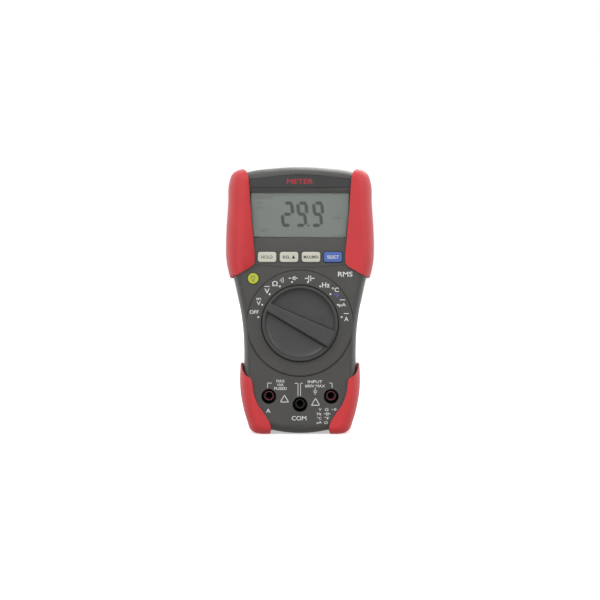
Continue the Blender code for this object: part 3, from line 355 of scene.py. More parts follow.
# Up the right side of the case, from the foot's corner to the top's, in x and z
SIDE_KNOTS = [
    (29.9 * MM, 8.5 * MM),
    (32.3 * MM, 16.5 * MM),
    (34.2 * MM, 28.5 * MM),
    (33.9 * MM, 48.5 * MM),
    (34.9 * MM, DIAL_Z),
    (39.1 * MM, 88.5 * MM),
    (42.3 * MM, 102.0 * MM),
    (CASE_HALF, TOP_Z - 47.0 * MM),
    (CASE_HALF - 1.25 * MM, TOP_Z - 24.6 * MM),
    (CASE_HALF - 2.5 * MM, TOP_Z - 9.2 * MM),
]
FOOT_KNOTS = [
    (0.0, 0.4 * MM),
    (9.0 * MM, 0.9 * MM),
    (17.0 * MM, FOOT_Z, "corner"),
    (23.5 * MM, FOOT_Z),
    (27.9 * MM, 3.8 * MM),
]
TOP_KNOTS = [
    (38.2 * MM, TOP_Z - 5.5 * MM),
    (32.2 * MM, TOP_Z - 3.1 * MM),
    (16.0 * MM, TOP_Z - 0.8 * MM),
    (0.0, TOP_Z),
]


def case_knots(grow):
    """The case's whole outline, grown outwards by a distance."""
    right = []
    for x, z, *corner in FOOT_KNOTS + SIDE_KNOTS + TOP_KNOTS:
        share = min(x / (side_width(z) - 1.0 * MM), 1.0)
        lift = grow * (z - MIDDLE_Z) / MIDDLE_Z
        right.append((x + grow * share, z + lift, *corner))
    return right + across(right)[1:-1]


def rounded_share(depth, distance):
    """How much of a rounded edge's reach is used up at a distance behind its face."""
    rest = max(0.0, 1 - distance / (depth * MM))
    return 1 - math.sqrt(1 - rest * rest)


def case_block(name, grow, open_y, closed_y, edge):
    """The case's form, from its open plane to a face whose edges round off in steps."""
    obj = flat_face(name, case_knots(grow), open_y)
    toward = 1 if closed_y > open_y else -1
    edit(obj, "VERT", "ALL")
    depth = open_y
    shares = (0.0, 0.0)
    for step in range(ROUNDING_STEPS + 1):
        distance = edge["depth"] * MM * (1 - math.sin(QUARTER * step / ROUNDING_STEPS))
        y = closed_y - toward * distance
        bpy.ops.mesh.extrude_region_move(TRANSFORM_OT_translate={"value": (0, y - depth, 0)})
        new_shares = (
            rounded_share(edge["depth"], distance),
            rounded_share(edge["foot"], distance),
        )
        draw_in(obj, y, edge, shares, new_shares)
        depth = y
        shares = new_shares
    return close_up(obj)


def draw_in(obj, y, edge, before, after):
    """Draws the outline at a depth further in, at its sides, its top and its foot."""
    ends = (
        ("side", 0, 0.9 * CASE_HALF, lambda z: True, (1, 0)),
        ("top", 0, TOP_Z - MIDDLE_Z, lambda z: z > MIDDLE_Z, (0, 1)),
        ("bottom", 1, MIDDLE_Z - FOOT_Z, lambda z: z < MIDDLE_Z, (0, 1)),
    )
    for name, which, span, belongs, (sideways, upright) in ends:
        reach = edge[name] * MM / span
        amount = (1 - reach * after[which]) / (1 - reach * before[which])
        choose(
            obj,
            lambda point, middle: abs(middle.y - y) < 0.01 * MM and belongs(middle.z),
            "verts",
        )
        size = (amount if sideways else 1, 1, amount if upright else 1)
        bpy.ops.transform.resize(value=size, center_override=(0, 0, MIDDLE_Z))
    choose(obj, lambda face, middle: abs(middle.y - y) < 0.01 * MM)


def hollow_with_bosses(name, open_y, closed_y, edge, bosses):
    """The room inside a case half, which leaves a boss round each case screw."""
    cavity = case_block(name, -WALL, open_y, closed_y, edge)
    for x, z in bosses:
        carved(cavity, rod("boss", x, z, 3.6 * MM, -60 * MM, 60 * MM, sides=24))
    return cavity


def screw_places():
    """The middle (x, z) of each case screw, from the frame."""
    places = {}
    for corner in ("upper_left", "upper_right", "lower_left", "lower_right"):
        low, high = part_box(f"case_screw_{corner}")
        places[corner] = ((low.x + high.x) / 2, (low.z + high.z) / 2)
    return places


# ---------------------------------------------------------------- finishes


def finish(name, colour, roughness, metallic=0.0, specular=0.5):
    """A new finish with its shader, ready for its own pattern."""
    material = bpy.data.materials.new(name)
    material.use_nodes = True
    shader = material.node_tree.nodes["Principled BSDF"]
    shader.inputs["Base Color"].default_value = (*colour, 1)
    shader.inputs["Roughness"].default_value = roughness
    shader.inputs["Metallic"].default_value = metallic
    shader.inputs["Specular IOR Level"].default_value = specular
    return material, material.node_tree, shader


def own_place(tree):
    """The piece's own coordinates, in metres."""
    return tree.nodes.new("ShaderNodeTexCoord").outputs["Object"]


def noise(tree, scale, detail=3.0, stretch=None):
    """A cloudy pattern with so many lumps to the metre."""
    node = tree.nodes.new("ShaderNodeTexNoise")
    node.inputs["Scale"].default_value = scale
    node.inputs["Detail"].default_value = detail
    place = own_place(tree)
    if stretch:
        mapping = tree.nodes.new("ShaderNodeMapping")
        mapping.inputs["Scale"].default_value = stretch
        tree.links.new(place, mapping.inputs["Vector"])
        place = mapping.outputs["Vector"]
    tree.links.new(place, node.inputs["Vector"])
    return node.outputs["Fac"]


def blended(tree, factor, low, high):
    """A colour that runs from low to high with a pattern."""
    ramp = tree.nodes.new("ShaderNodeValToRGB")
    ramp.color_ramp.elements[0].position = 0.3
    ramp.color_ramp.elements[0].color = (*low, 1)
    ramp.color_ramp.elements[1].position = 0.7
    ramp.color_ramp.elements[1].color = (*high, 1)
    tree.links.new(factor, ramp.inputs["Fac"])
    return ramp.outputs["Color"]


def spread(tree, factor, low, high):
    """A value that runs from low to high with a pattern."""
    node = tree.nodes.new("ShaderNodeMapRange")
    node.inputs["From Min"].default_value = 0.3
    node.inputs["From Max"].default_value = 0.7
    node.inputs["To Min"].default_value = low
    node.inputs["To Max"].default_value = high
    tree.links.new(factor, node.inputs["Value"])
    return node.outputs["Result"]


def embossed(tree, shader, height, depth, strength=1.0):
    """Raises the surface by a pattern, to a depth in metres."""
    bump = tree.nodes.new("ShaderNodeBump")
    bump.inputs["Distance"].default_value = depth
    bump.inputs["Strength"].default_value = strength
    tree.links.new(height, bump.inputs["Height"])
    tree.links.new(bump.outputs["Normal"], shader.inputs["Normal"])


def scaled(colour, amount):
    return tuple(channel * amount for channel in colour)


def moulded_plastic(name, colour, roughness, texture=0.02 * MM, grains=2600):
    """Satin moulded plastic: a fine spark texture, and a faint cloudiness."""
    material, tree, shader = finish(name, colour, roughness)
    cloud = noise(tree, 90)
    tone = blended(tree, cloud, scaled(colour, 0.93), scaled(colour, 1.07))
    tree.links.new(tone, shader.inputs["Base Color"])
    grain = noise(tree, grains, detail=2.0)
    rough = spread(tree, grain, roughness - 0.06, roughness + 0.06)
    tree.links.new(rough, shader.inputs["Roughness"])
    embossed(tree, shader, grain, texture)
    return material


def soft_rubber(name, colour):
    """Overmoulded rubber: matt, a little milky where it turns away, with a dusty bloom."""
    material, tree, shader = finish(name, colour, 0.52)
    shader.inputs["Sheen Weight"].default_value = 0.25
    shader.inputs["Sheen Roughness"].default_value = 0.45
    shader.inputs["Sheen Tint"].default_value = (1.0, 0.72, 0.74, 1)
    cloud = noise(tree, 60, detail=4.0)
    tone = blended(tree, cloud, scaled(colour, 0.95), scaled(colour, 1.05))
    tree.links.new(tone, shader.inputs["Base Color"])
    grain = noise(tree, 1900, detail=3.0)
    rough = spread(tree, grain, 0.46, 0.6)
    tree.links.new(rough, shader.inputs["Roughness"])
    embossed(tree, shader, grain, 0.015 * MM)
    return material


def display_crystal(name, colour):
    """The grey-green back of a liquid crystal, with its faint upright grain."""
    material, tree, shader = finish(name, colour, 0.35)
    streak = noise(tree, 160, detail=2.0, stretch=(14, 1, 1))
    tone = blended(tree, streak, scaled(colour, 0.96), scaled(colour, 1.04))
    tree.links.new(tone, shader.inputs["Base Color"])
    return material


def clear_window(name):
    """Clear acrylic with the slight haze of a hard coat."""
    material, tree, shader = finish(name, (1, 1, 1), 0.06)
    shader.inputs["Transmission Weight"].default_value = 1.0
    shader.inputs["IOR"].default_value = 1.3
    haze = noise(tree, 400, detail=2.0)
    rough = spread(tree, haze, 0.02, 0.06)
    tree.links.new(rough, shader.inputs["Roughness"])
    return material


def polished_metal(name, colour, roughness):
    """Turned metal, with fine rings from the tool and a few dull spots."""
    material, tree, shader = finish(name, colour, roughness, metallic=1.0)
    spots = noise(tree, 700, detail=4.0)
    rough = spread(tree, spots, roughness * 0.8, roughness * 1.4)
    tree.links.new(rough, shader.inputs["Roughness"])
    tone = blended(tree, spots, scaled(colour, 0.88), colour)
    tree.links.new(tone, shader.inputs["Base Color"])
    return material


def printed_ink(name, colour):
    """Screen-printed lettering, a little uneven in its cover."""
    material, tree, shader = finish(name, colour, 0.5)
    cover = noise(tree, 1500, detail=3.0)
    tone = blended(tree, cover, scaled(colour, 0.9), colour)
    tree.links.new(tone, shader.inputs["Base Color"])
    return material


def circuit_board(name):
    """Green solder mask over copper tracks."""
    material, tree, shader = finish(name, (0.02, 0.16, 0.06), 0.35)
    tracks = tree.nodes.new("ShaderNodeTexBrick")
    tracks.inputs["Scale"].default_value = 120
    tracks.inputs["Mortar Size"].default_value = 0.03
    tracks.inputs["Color1"].default_value = (0.02, 0.16, 0.06, 1)
    tracks.inputs["Color2"].default_value = (0.025, 0.2, 0.08, 1)
    tracks.inputs["Mortar"].default_value = (0.05, 0.3, 0.12, 1)
    turn = tree.nodes.new("ShaderNodeMapping")
    turn.inputs["Rotation"].default_value = (QUARTER, 0, 0)
    tree.links.new(own_place(tree), turn.inputs["Vector"])
    tree.links.new(turn.outputs["Vector"], tracks.inputs["Vector"])
    tree.links.new(tracks.outputs["Color"], shader.inputs["Base Color"])
    return material


FINISHES = {
    "case_grey": moulded_plastic("case grey", (0.062, 0.060, 0.056), 0.42),
    "grip_red": soft_rubber("grip red", (0.60, 0.028, 0.034)),
    "knob_grey": moulded_plastic("knob grey", (0.050, 0.049, 0.048), 0.38),
    "plate_dark": moulded_plastic("name plate grey", (0.032, 0.032, 0.034), 0.3, 0.004 * MM),
    "window_clear": clear_window("window acrylic"),
    "display_grey": display_crystal("display crystal", (0.165, 0.19, 0.168)),
    "light_guide": moulded_plastic("milky light guide", (0.72, 0.74, 0.72), 0.3),
    "mat_grey": soft_rubber("switch mat rubber", (0.25, 0.25, 0.25)),
    "key_cream": moulded_plastic("key cream", (0.60, 0.58, 0.50), 0.42, 0.008 * MM),
    "key_blue": moulded_plastic("key blue", (0.075, 0.14, 0.44), 0.42, 0.008 * MM),
    "key_yellow": moulded_plastic("key yellow green", (0.50, 0.54, 0.035), 0.42, 0.008 * MM),
    "black_plastic": moulded_plastic("black plastic", (0.012, 0.012, 0.012), 0.4),
    "socket_red": moulded_plastic("socket red", (0.20, 0.026, 0.06), 0.35),
    "contact_brass": polished_metal("contact brass", (0.14, 0.10, 0.05), 0.4),
    "steel": polished_metal("zinc plated steel", (0.55, 0.55, 0.56), 0.32),
    "board_green": circuit_board("board green"),
    "fuse_ceramic": moulded_plastic("fuse ceramic", (0.72, 0.7, 0.64), 0.3),
    "battery_case": moulded_plastic("battery sleeve", (0.05, 0.05, 0.07), 0.3),
}
WHITE_INK = printed_ink("white print", (0.80, 0.80, 0.79))
DARK_INK = printed_ink("dark print", (0.045, 0.042, 0.04))
BLUE_INK = printed_ink("blue print", (0.12, 0.11, 0.42))
RED_INK = printed_ink("red print", (0.56, 0.02, 0.04))
CRYSTAL_DARK = printed_ink("dark crystal", (0.035, 0.05, 0.045))
CRYSTAL_FAINT = printed_ink("faint crystal", (0.075, 0.09, 0.08))


def fitted(obj, body, slot, *nodes, material=None):
    """Gives a finished piece its body and the finish of its slot, and hides the nodes it stands for."""
    obj.data.materials.clear()
    obj.data.materials.append(material or FINISHES[slot])
    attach(obj, body)
    if nodes:
        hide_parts(*nodes)
    return obj


def dress_packed_nodes():
    """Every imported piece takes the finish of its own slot."""
    for part in frame["record"]["subparts"]:
        node = frame["nodes"][part["node"]]
        node.data.materials.clear()
        node.data.materials.append(FINISHES[part["material_slot"]])


# ---------------------------------------------------------------- the grips


UPPER_GRIP_EDGE = [
    (37.6 * MM, TOP_Z + 30.0 * MM, "corner"),
    (36.9 * MM, TOP_Z - 1.1 * MM),
    (34.6 * MM, TOP_Z - 1.8 * MM),
    (33.1 * MM, TOP_Z - 2.8 * MM),
    (31.8 * MM, TOP_Z - 4.2 * MM),
    (30.9 * MM, TOP_Z - 6.2 * MM),
    (29.1 * MM, TOP_Z - 28.2 * MM),
    (27.4 * MM, TOP_Z - 47.2 * MM),
    (26.8 * MM, TOP_Z - 57.2 * MM),
    (27.0 * MM, TOP_Z - 58.8 * MM),
    (33.0 * MM, TOP_Z - 63.2 * MM),
    (38.6 * MM, TOP_Z - 66.2 * MM),
    (41.4 * MM, TOP_Z - 66.8 * MM),
    (60.0 * MM, TOP_Z - 66.8 * MM, "corner"),
    (60.0 * MM, TOP_Z + 30.0 * MM, "corner"),
]
LOWER_GRIP_EDGE = [
    (60.0 * MM, 41.2 * MM, "corner"),
    (36.6 * MM, 41.2 * MM),
    (35.3 * MM, 40.6 * MM),
    (34.5 * MM, 38.5 * MM),
    (32.5 * MM, 35.4 * MM),
    (29.1 * MM, 33.3 * MM),
    (28.1 * MM, 30.0 * MM),
    (27.6 * MM, 25.5 * MM),
    (24.9 * MM, 17.9 * MM),
    (20.9 * MM, 12.1 * MM),
    (17.9 * MM, 6.8 * MM),
    (17.3 * MM, 4.0 * MM),
    (17.6 * MM, 2.0 * MM),
    (18.4 * MM, -20.0 * MM, "corner"),
    (60.0 * MM, -20.0 * MM, "corner"),
]
GRIP_REGIONS = {"upper": UPPER_GRIP_EDGE, "lower": LOWER_GRIP_EDGE}


def grip_inner_x(z):
    """The inner edge of an upper grip at a height."""
    edge = UPPER_GRIP_EDGE[5:9]
    for (x1, z1, *_), (x2, z2, *_) in zip(edge, edge[1:]):
        if z2 <= z <= z1:
            return x2 + (x1 - x2) * (z - z2) / (z1 - z2)
    return edge[-1][0]


def make_grips():
    """Soft corner guards, moulded proud of the case, in front and rear halves."""
    halves = {
        "front": (FRONT_OPEN_Y, GRIP_FRONT_Y, GRIP_FRONT_EDGE, FACE_Y - GAP, FRONT_EDGE),
        "rear": (REAR_OPEN_Y, GRIP_BACK_Y, GRIP_BACK_EDGE, BACK_Y + GAP, BACK_EDGE),
    }
    for half, (open_y, closed_y, edge, core_y, core_edge) in halves.items():
        form = case_block("form", GRIP_PROUD, open_y, closed_y, edge)
        beyond = open_y + (WALL if half == "front" else -WALL)
        carved(form, case_block("core", GAP, beyond, core_y, core_edge))
        for level, region in GRIP_REGIONS.items():
            grip = copied(form, f"{level}_right_{half}_grip")
            carved(grip, slab("region", region, -60 * MM, 60 * MM), "INTERSECT")
            softened(grip, 0.5 * MM, segments=3)
            twin = reflected(grip, f"{level}_left_{half}_grip")
            fitted(grip, "case", "grip_red", f"grip_{level}_right_{half}")
            fitted(twin, "case", "grip_red", f"grip_{level}_left_{half}")
        bpy.data.objects.remove(form)


# ---------------------------------------------------------------- the front half


def between_grips(low, high, margin, rows=5):
    """Knots of the outline between the upper grips from one height to another."""
    right = []
    for row in range(rows):
        z = low + (high - low) * row / (rows - 1)
        right.append((grip_inner_x(z) - margin, z))
    return cornered(right + across(right))


def display_trough():
    """What is cut away round the display: a ramp below, a floor, and a ledge above."""
    floor = WINDOW_LOW.y - 0.1 * MM
    low = (-60 * MM, -60 * MM, WINDOW_LOW.z - RAMP_HEIGHT)
    high = (60 * MM, floor, WINDOW_HIGH.z + LEDGE_HEIGHT)
    trough = block("trough", low, high)
    for name, z, reach in (("low", low[2], RAMP_HEIGHT), ("high", high[2], -LEDGE_HEIGHT)):
        edit(trough, "EDGE")
        choose(
            trough,
            lambda edge, middle: is_along(edge, "x")
            and abs(middle.z - z) < MM
            and middle.y > floor - MM,
            "edges",
        )
        bpy.ops.transform.translate(value=(0, FACE_Y - floor, 0))
        put_down()
    for z in (WINDOW_LOW.z, WINDOW_HIGH.z):
        edit(trough, "VERT", "ALL")
        bpy.ops.mesh.bisect(plane_co=(0, 0, z), plane_no=(0, 0, 1))
        choose(
            trough,
            lambda point, middle: abs(middle.z - z) < 0.01 * MM and middle.y > FACE_Y - MM,
            "verts",
        )
        bpy.ops.transform.translate(value=(0, floor - FACE_Y, 0))
        put_down()
    sides = between_grips(low[2] - MM, high[2] + MM, GAP)
    return carved(trough, slab("sides", sides, -90 * MM, 60 * MM), "INTERSECT")


def plate_knots(grow):
    """The name plate's outline, with its top edge arched like the case."""
    bottom = PLATE_LOW.z - grow
    half = PLATE_HIGH.x + grow
    top = PLATE_HIGH.z + grow
    drop = half * half / (360 * MM)
    right = [(half - 0.45 * MM, bottom, "corner"), (half, top - drop, "corner")]
    return right + [(0.0, top)] + across(right)


def button_names():
    return ("hold_button", "relative_button", "min_max_button", "select_button")


def make_front_half():
    case = case_block("front_half", 0.0, FRONT_OPEN_Y, FACE_Y, FRONT_EDGE)
    plateau = rod("plateau", 0, DIAL_Z, PLATEAU_RADIUS, PLATEAU_Y, FACE_Y + MM, sides=160)
    edit(plateau, "FACE")
    choose(plateau, lambda face, middle: face.normal.y < -0.5)
    bpy.ops.mesh.inset(thickness=0.5 * MM)
    choose(
        plateau,
        lambda edge, middle: not is_along(edge, "y")
        and abs(middle.y - PLATEAU_Y) < 0.1 * MM
        and math.hypot(middle.x, middle.z - DIAL_Z) > PLATEAU_RADIUS - 0.2 * MM,
        "edges",
    )
    bpy.ops.transform.translate(value=(0, 0.45 * MM, 0))
    close_up(plateau)
    bound = case_block("bound", 0.0, FRONT_OPEN_Y, PLATEAU_Y - GAP, FRONT_EDGE)
    carved(plateau, bound, "INTERSECT")
    carved(case, plateau, "UNION")

    cavity = hollow_with_bosses(
        "cavity", FRONT_OPEN_Y + WALL, FACE_Y + WALL, FRONT_EDGE, screw_places().values()
    )
    carved(case, cavity)
    for x, z in screw_places().values():
        carved(case, rod("pilot", x, z, 1.65 * MM, -7.5 * MM, 5 * MM, sides=24))

    carved(case, display_trough())
    low = WINDOW_LOW.z - GAP
    high = WINDOW_HIGH.z + GAP
    carved(case, slab("opening", between_grips(low, high, 0.3 * MM), -40 * MM, 0))
    carved(case, slab("pocket", plate_knots(GAP), -40 * MM, PLATE_HIGH.y + GAP, steps=16))

    well_y = PLATEAU_Y + WELL_DEPTH
    carved(case, rod("well", 0, DIAL_Z, KNOB_RADIUS + 0.8 * MM, -40 * MM, well_y, sides=160))
    groove = rod("groove", 0, DIAL_Z, KNOB_RADIUS + 0.8 * MM, -40 * MM, well_y + 0.8 * MM, sides=160)
    island = rod("island", 0, DIAL_Z, KNOB_RADIUS - 0.4 * MM, -50 * MM, 0, sides=160)
    carved(case, carved(groove, island))
    carved(case, rod("bore", 0, DIAL_Z, SHAFT_RADIUS + GAP, -40 * MM, 0, sides=48))
    for name in button_names():
        low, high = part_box(name)
        low = (low.x - GAP, -40 * MM, low.z - GAP)
        high = (high.x + GAP, 0, high.z + GAP)
        carved(case, rounded_panel("key_hole", low, high, 1.8 * MM))
    low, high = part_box("backlight_button")
    middle = (low + high) / 2
    radius = (high.x - low.x) / 2 + GAP
    carved(case, rod("key_hole", middle.x, middle.z, radius, -40 * MM, 0))
    for x, z in socket_places().values():
        carved(case, rod("socket_hole", x, z, 4.45 * MM, -40 * MM, 0))
    cut_face_lines(case)
    softened(case, 0.22 * MM)
    fitted(case, "case", "case_grey", "front_case")


def cut_face_lines(case):
    """The fine moulded lines of the face: round the dial, down its sides, and under the keys."""
    put_down()
    bpy.ops.mesh.primitive_torus_add(
        major_radius=PLATEAU_RADIUS + 0.15 * MM,
        minor_radius=0.42 * MM,
        major_segments=160,
        minor_segments=8,
        location=(0, FACE_Y, DIAL_Z),
        rotation=(QUARTER, 0, 0),
    )
    carved(case, settle(named("ring_line")))
    side = []
    inset = 1 - FRONT_EDGE["side"] * MM / (0.9 * CASE_HALF)
    for rise in (-31.5, -22.5, -12.5, -1.5, 9.5, 20.5, 28.5):
        z = DIAL_Z + rise * MM
        side.append((side_width(z) * inset, FACE_Y, z))
    for sign in (1, -1):
        points = [(sign * x, y, z) for x, y, z in side]
        carved(case, line_tool("side_line", points, 0.2 * MM))
    key_line_z = WINDOW_LOW.z - 18 * MM
    for name, z, half, radius in (("key_line", key_line_z, 26, 0.24), ("foot_line", 5.4 * MM, 17, 0.22)):
        line = []
        for share in (-1, -0.5, 0, 0.5, 1):
            x = half * share
            line.append((x * MM, FACE_Y, z + 0.0022 * x * x * MM))
        carved(case, line_tool(name, line, radius * MM))


# ---------------------------------------------------------------- the rear half


def u_knots(grow):
    """The outline of the tilt stand, a U whose legs go up to the hinge."""
    outer = STAND_HIGH.x - 1.8 * MM + grow
    inner = outer - 6.8 * MM - 2 * grow
    low = STAND_LOW.z - grow
    bar = STAND_LOW.z + 9.0 * MM + grow
    top = STAND_HIGH.z + grow
    right = [
        (outer - 3.4 * MM, low, "corner"),
        (outer - 1.0 * MM, low + 1.0 * MM),
        (outer, low + 3.4 * MM, "corner"),
        (outer, top, "corner"),
        (inner, top, "corner"),
        (inner, bar + 3.4 * MM, "corner"),
        (inner - 1.0 * MM, bar + 1.0 * MM),
        (inner - 3.4 * MM, bar, "corner"),
    ]
    return right + across(right)


def make_rear_half():
    case = case_block("rear_half", 0.0, REAR_OPEN_Y, BACK_Y, BACK_EDGE)
    cavity = hollow_with_bosses(
        "cavity", REAR_OPEN_Y - WALL, BACK_Y - WALL, BACK_EDGE, screw_places().values()
    )
    floor = STAND_LOW.y - 0.5 * MM
    stand_x = STAND_HIGH.x + WALL - 1.8 * MM
    low = (-stand_x, floor - WALL, STAND_LOW.z - WALL)
    carved(cavity, block("stand_block", low, (stand_x, 60 * MM, STAND_HIGH.z + WALL)))
    pocket_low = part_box("battery_9v")[0]
    pocket_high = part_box("battery_snap")[1]
    bay_x = -pocket_low.x + 0.6 * MM
    bay_low = (-bay_x - 1.5 * MM, pocket_low.y - 1.8 * MM, DOOR_LOW.z - 1.5 * MM)
    bay_high = (bay_x + 1.5 * MM, 60 * MM, DOOR_HIGH.z + 1.5 * MM)
    carved(cavity, block("bay_block", bay_low, bay_high))
    carved(case, cavity)
    tub_high = (bay_high[0], BACK_Y - WALL, bay_high[2])
    carved(case, block("tub", bay_low, tub_high), "UNION")

    pocket_z = (pocket_low.z - 0.6 * MM, pocket_high.z + GAP)
    low = (-bay_x, pocket_low.y - GAP, pocket_z[0])
    carved(case, block("pocket", low, (bay_x, 60 * MM, pocket_z[1])))
    low = (DOOR_LOW.x - GAP, DOOR_LOW.y - GAP, DOOR_LOW.z - GAP)
    high = (DOOR_HIGH.x + GAP, 60 * MM, DOOR_HIGH.z + GAP)
    carved(case, rounded_panel("door_seat", low, high, 2.3 * MM))
    for name in ("upper", "lower"):
        x, y, z = middle_of(f"door_screw_{name}")
        carved(case, rod("pilot", x, z, 1.65 * MM, 11.3 * MM, BACK_Y, sides=24))
    carved(case, slab("stand_recess", u_knots(0.5 * MM), floor, 60 * MM))
    carved(case, hinge_pin("pin_hole", 1.5 * MM, 0.3 * MM))
    low = (-10 * MM, floor, STAND_LOW.z - 5.0 * MM)
    high = (10 * MM, 60 * MM, STAND_LOW.z + 2.0 * MM)
    thumb = rounded_panel("thumb_cut", low, high, 3.0 * MM)
    carved(case, thumb)
    for x, z in screw_places().values():
        carved(case, rod("clear", x, z, 1.65 * MM, -40 * MM, BACK_Y, sides=24))
        seat = BACK_Y - 3.4 * MM
        carved(case, rod("counterbore", x, z, SCREW_HEAD_RADIUS + GAP, seat, 60 * MM, sides=48))
    softened(case, 0.22 * MM)
    fitted(case, "case", "case_grey", "rear_case")


def middle_of(node):
    low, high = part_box(node)
    return (low + high) / 2


def hinge_pin(name, radius, extra):
    """The hinge's line, as one rod along X from pin end to pin end."""
    put_down()
    bpy.ops.mesh.primitive_cylinder_add(
        vertices=32,
        radius=radius,
        depth=2 * (STAND_HIGH.x + extra),
        location=(0, (STAND_LOW.y + STAND_HIGH.y) / 2, STAND_HIGH.z - 1.5 * MM),
        rotation=(0, QUARTER, 0),
    )
    pin = settle(named(name))
    gap = STAND_HIGH.x - 1.8 * MM - 1.0 * MM
    return carved(pin, block("between", (-gap, 0, 0), (gap, 60 * MM, 200 * MM)))


def make_door():
    """The battery door, with its screw seats and a ribbed pull at its foot."""
    door = rounded_panel("battery_cover", DOOR_LOW, DOOR_HIGH, 2.0 * MM, steps=8)
    for name in ("upper", "lower"):
        x, y, z = middle_of(f"door_screw_{name}")
        carved(door, rod("hole", x, z, 1.65 * MM, 0, 60 * MM, sides=32))
        seat = BACK_Y - 1.2 * MM
        carved(door, rod("sink", x, z, SCREW_HEAD_RADIUS + GAP, seat, 60 * MM, sides=48))
    for row in range(5):
        z = DOOR_LOW.z + (10.5 + 1.7 * row) * MM
        reach = (9.0 - 1.1 * row) * MM
        rib = line_tool("rib", [(-reach, BACK_Y, z), (0, BACK_Y, z), (reach, BACK_Y, z)], 0.4 * MM)
        carved(door, rib)
    softened(door, 0.3 * MM, segments=3)
    fitted(door, "door", "case_grey", "battery_door")


def make_stand():
    stand = slab("tilt_foot", u_knots(0.0), STAND_LOW.y, STAND_HIGH.y)
    ends = block(
        "ends",
        (-60 * MM, STAND_LOW.y, STAND_LOW.z - MM),
        (60 * MM, STAND_HIGH.y, STAND_HIGH.z),
    )
    edit(ends, "EDGE")
    choose(ends, lambda edge, middle: is_along(edge, "x") and middle.z > STAND_HIGH.z - MM, "edges")
    bpy.ops.mesh.bevel(offset=1.49 * MM, segments=8, affect="EDGES")
    close_up(ends)
    carved(stand, ends, "INTERSECT")
    for row in range(3):
        z = STAND_LOW.z + (2.6 + 1.9 * row) * MM
        points = [(x * MM, STAND_HIGH.y, z) for x in (-9, 0, 9)]
        carved(stand, line_tool("rib", points, 0.4 * MM))
    for side in (1, -1):
        x = side * (STAND_HIGH.x - 1.8 * MM - 3.4 * MM)
        low = (x - 1.6 * MM, STAND_HIGH.y - 0.8 * MM, STAND_LOW.z + 14 * MM)
        high = (x + 1.6 * MM, STAND_HIGH.y + 5 * MM, STAND_HIGH.z - 8 * MM)
        carved(stand, rounded_panel("relief", low, high, 1.5 * MM))
    carved(stand, hinge_pin("pin", 1.2 * MM, 0.0), "UNION")
    softened(stand, 0.3 * MM, segments=3)
    fitted(stand, "stand", "case_grey", "tilt_stand")


def make_screws():
    """A pan head with a cross recess, turned once and copied to every screw's place."""
    pattern = rod("screw_head", 0, 0, SCREW_HEAD_RADIUS, 0, 1.2 * MM, sides=48)
    edit(pattern, "FACE")
    choose(pattern, lambda face, middle: face.normal.y > 0.5)
    for inset, rise in ((0.35, 0.3), (0.5, 0.2), (0.8, 0.08)):
        bpy.ops.mesh.inset(thickness=inset * MM)
        bpy.ops.transform.translate(value=(0, rise * MM, 0))
    close_up(pattern)
    shank = rod("shank", 0, 0, 1.35 * MM, -7.4 * MM, 0.5 * MM, sides=32)
    carved(pattern, shank, "UNION")
    for half_x, half_z in ((1.45, 0.32), (0.32, 1.45)):
        low = (-half_x * MM, 0.75 * MM, -half_z * MM)
        carved(pattern, block("slot", low, (half_x * MM, 5 * MM, half_z * MM)))
    softened(pattern, 0.08 * MM)
    names = [(f"case_screw_{corner}", "case") for corner in screw_places()]
    names += [("door_screw_upper", "door"), ("door_screw_lower", "door")]
    for node, body in names:
        low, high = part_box(node)
        screw = copied(pattern, node.replace("screw", "fixing"))
        moved(screw, (low.x + high.x) / 2, high.y - 1.8 * MM, (low.z + high.z) / 2)
        fitted(screw, body, "steel", node)
    bpy.data.objects.remove(pattern)


# ---------------------------------------------------------------- knob, keys and sockets


def make_knob():
    """The range knob: a thin rim, a dish sunk inside it, and a bar across the dish."""
    rim_y = KNOB_LOW.y + 1.8 * MM
    back_y = PLATEAU_Y + WELL_DEPTH - GAP
    knob = rod("dial_knob", 0, DIAL_Z, KNOB_RADIUS, rim_y, back_y, sides=144)
    edit(knob, "FACE")
    choose(knob, lambda face, middle: face.normal.y < -0.5)
    steps = ((0.5, -0.55), (0.9, 0.0), (0.5, 0.5), (0.7, 0.9), (1.3, 0.6), (3.0, 0.35), (6.0, 0.2))
    for inset, sink in steps:
        bpy.ops.mesh.inset(thickness=inset * MM)
        bpy.ops.transform.translate(value=(0, sink * MM, 0))
    close_up(knob)
    moved(knob, y=0.55 * MM)
    edit(knob, "FACE")
    choose(knob, lambda face, middle: face.normal.y > 0.5)
    bpy.ops.transform.translate(value=(0, -0.55 * MM, 0))
    close_up(knob)
    carved(knob, knob_bar(rim_y), "UNION")
    shaft = rod("shaft", 0, DIAL_Z, SHAFT_RADIUS, back_y - MM, KNOB_HIGH.y, sides=64)
    carved(knob, shaft, "UNION")
    softened(knob, 0.3 * MM, segments=3)
    fitted(knob, "switch", "knob_grey", "range_knob")


def is_top_edge(edge, middle):
    """Whether an edge lies round the knob bar's sloping top."""
    tops = [face for face in edge.link_faces if face.normal.y < -0.9]
    return len(tops) == 1


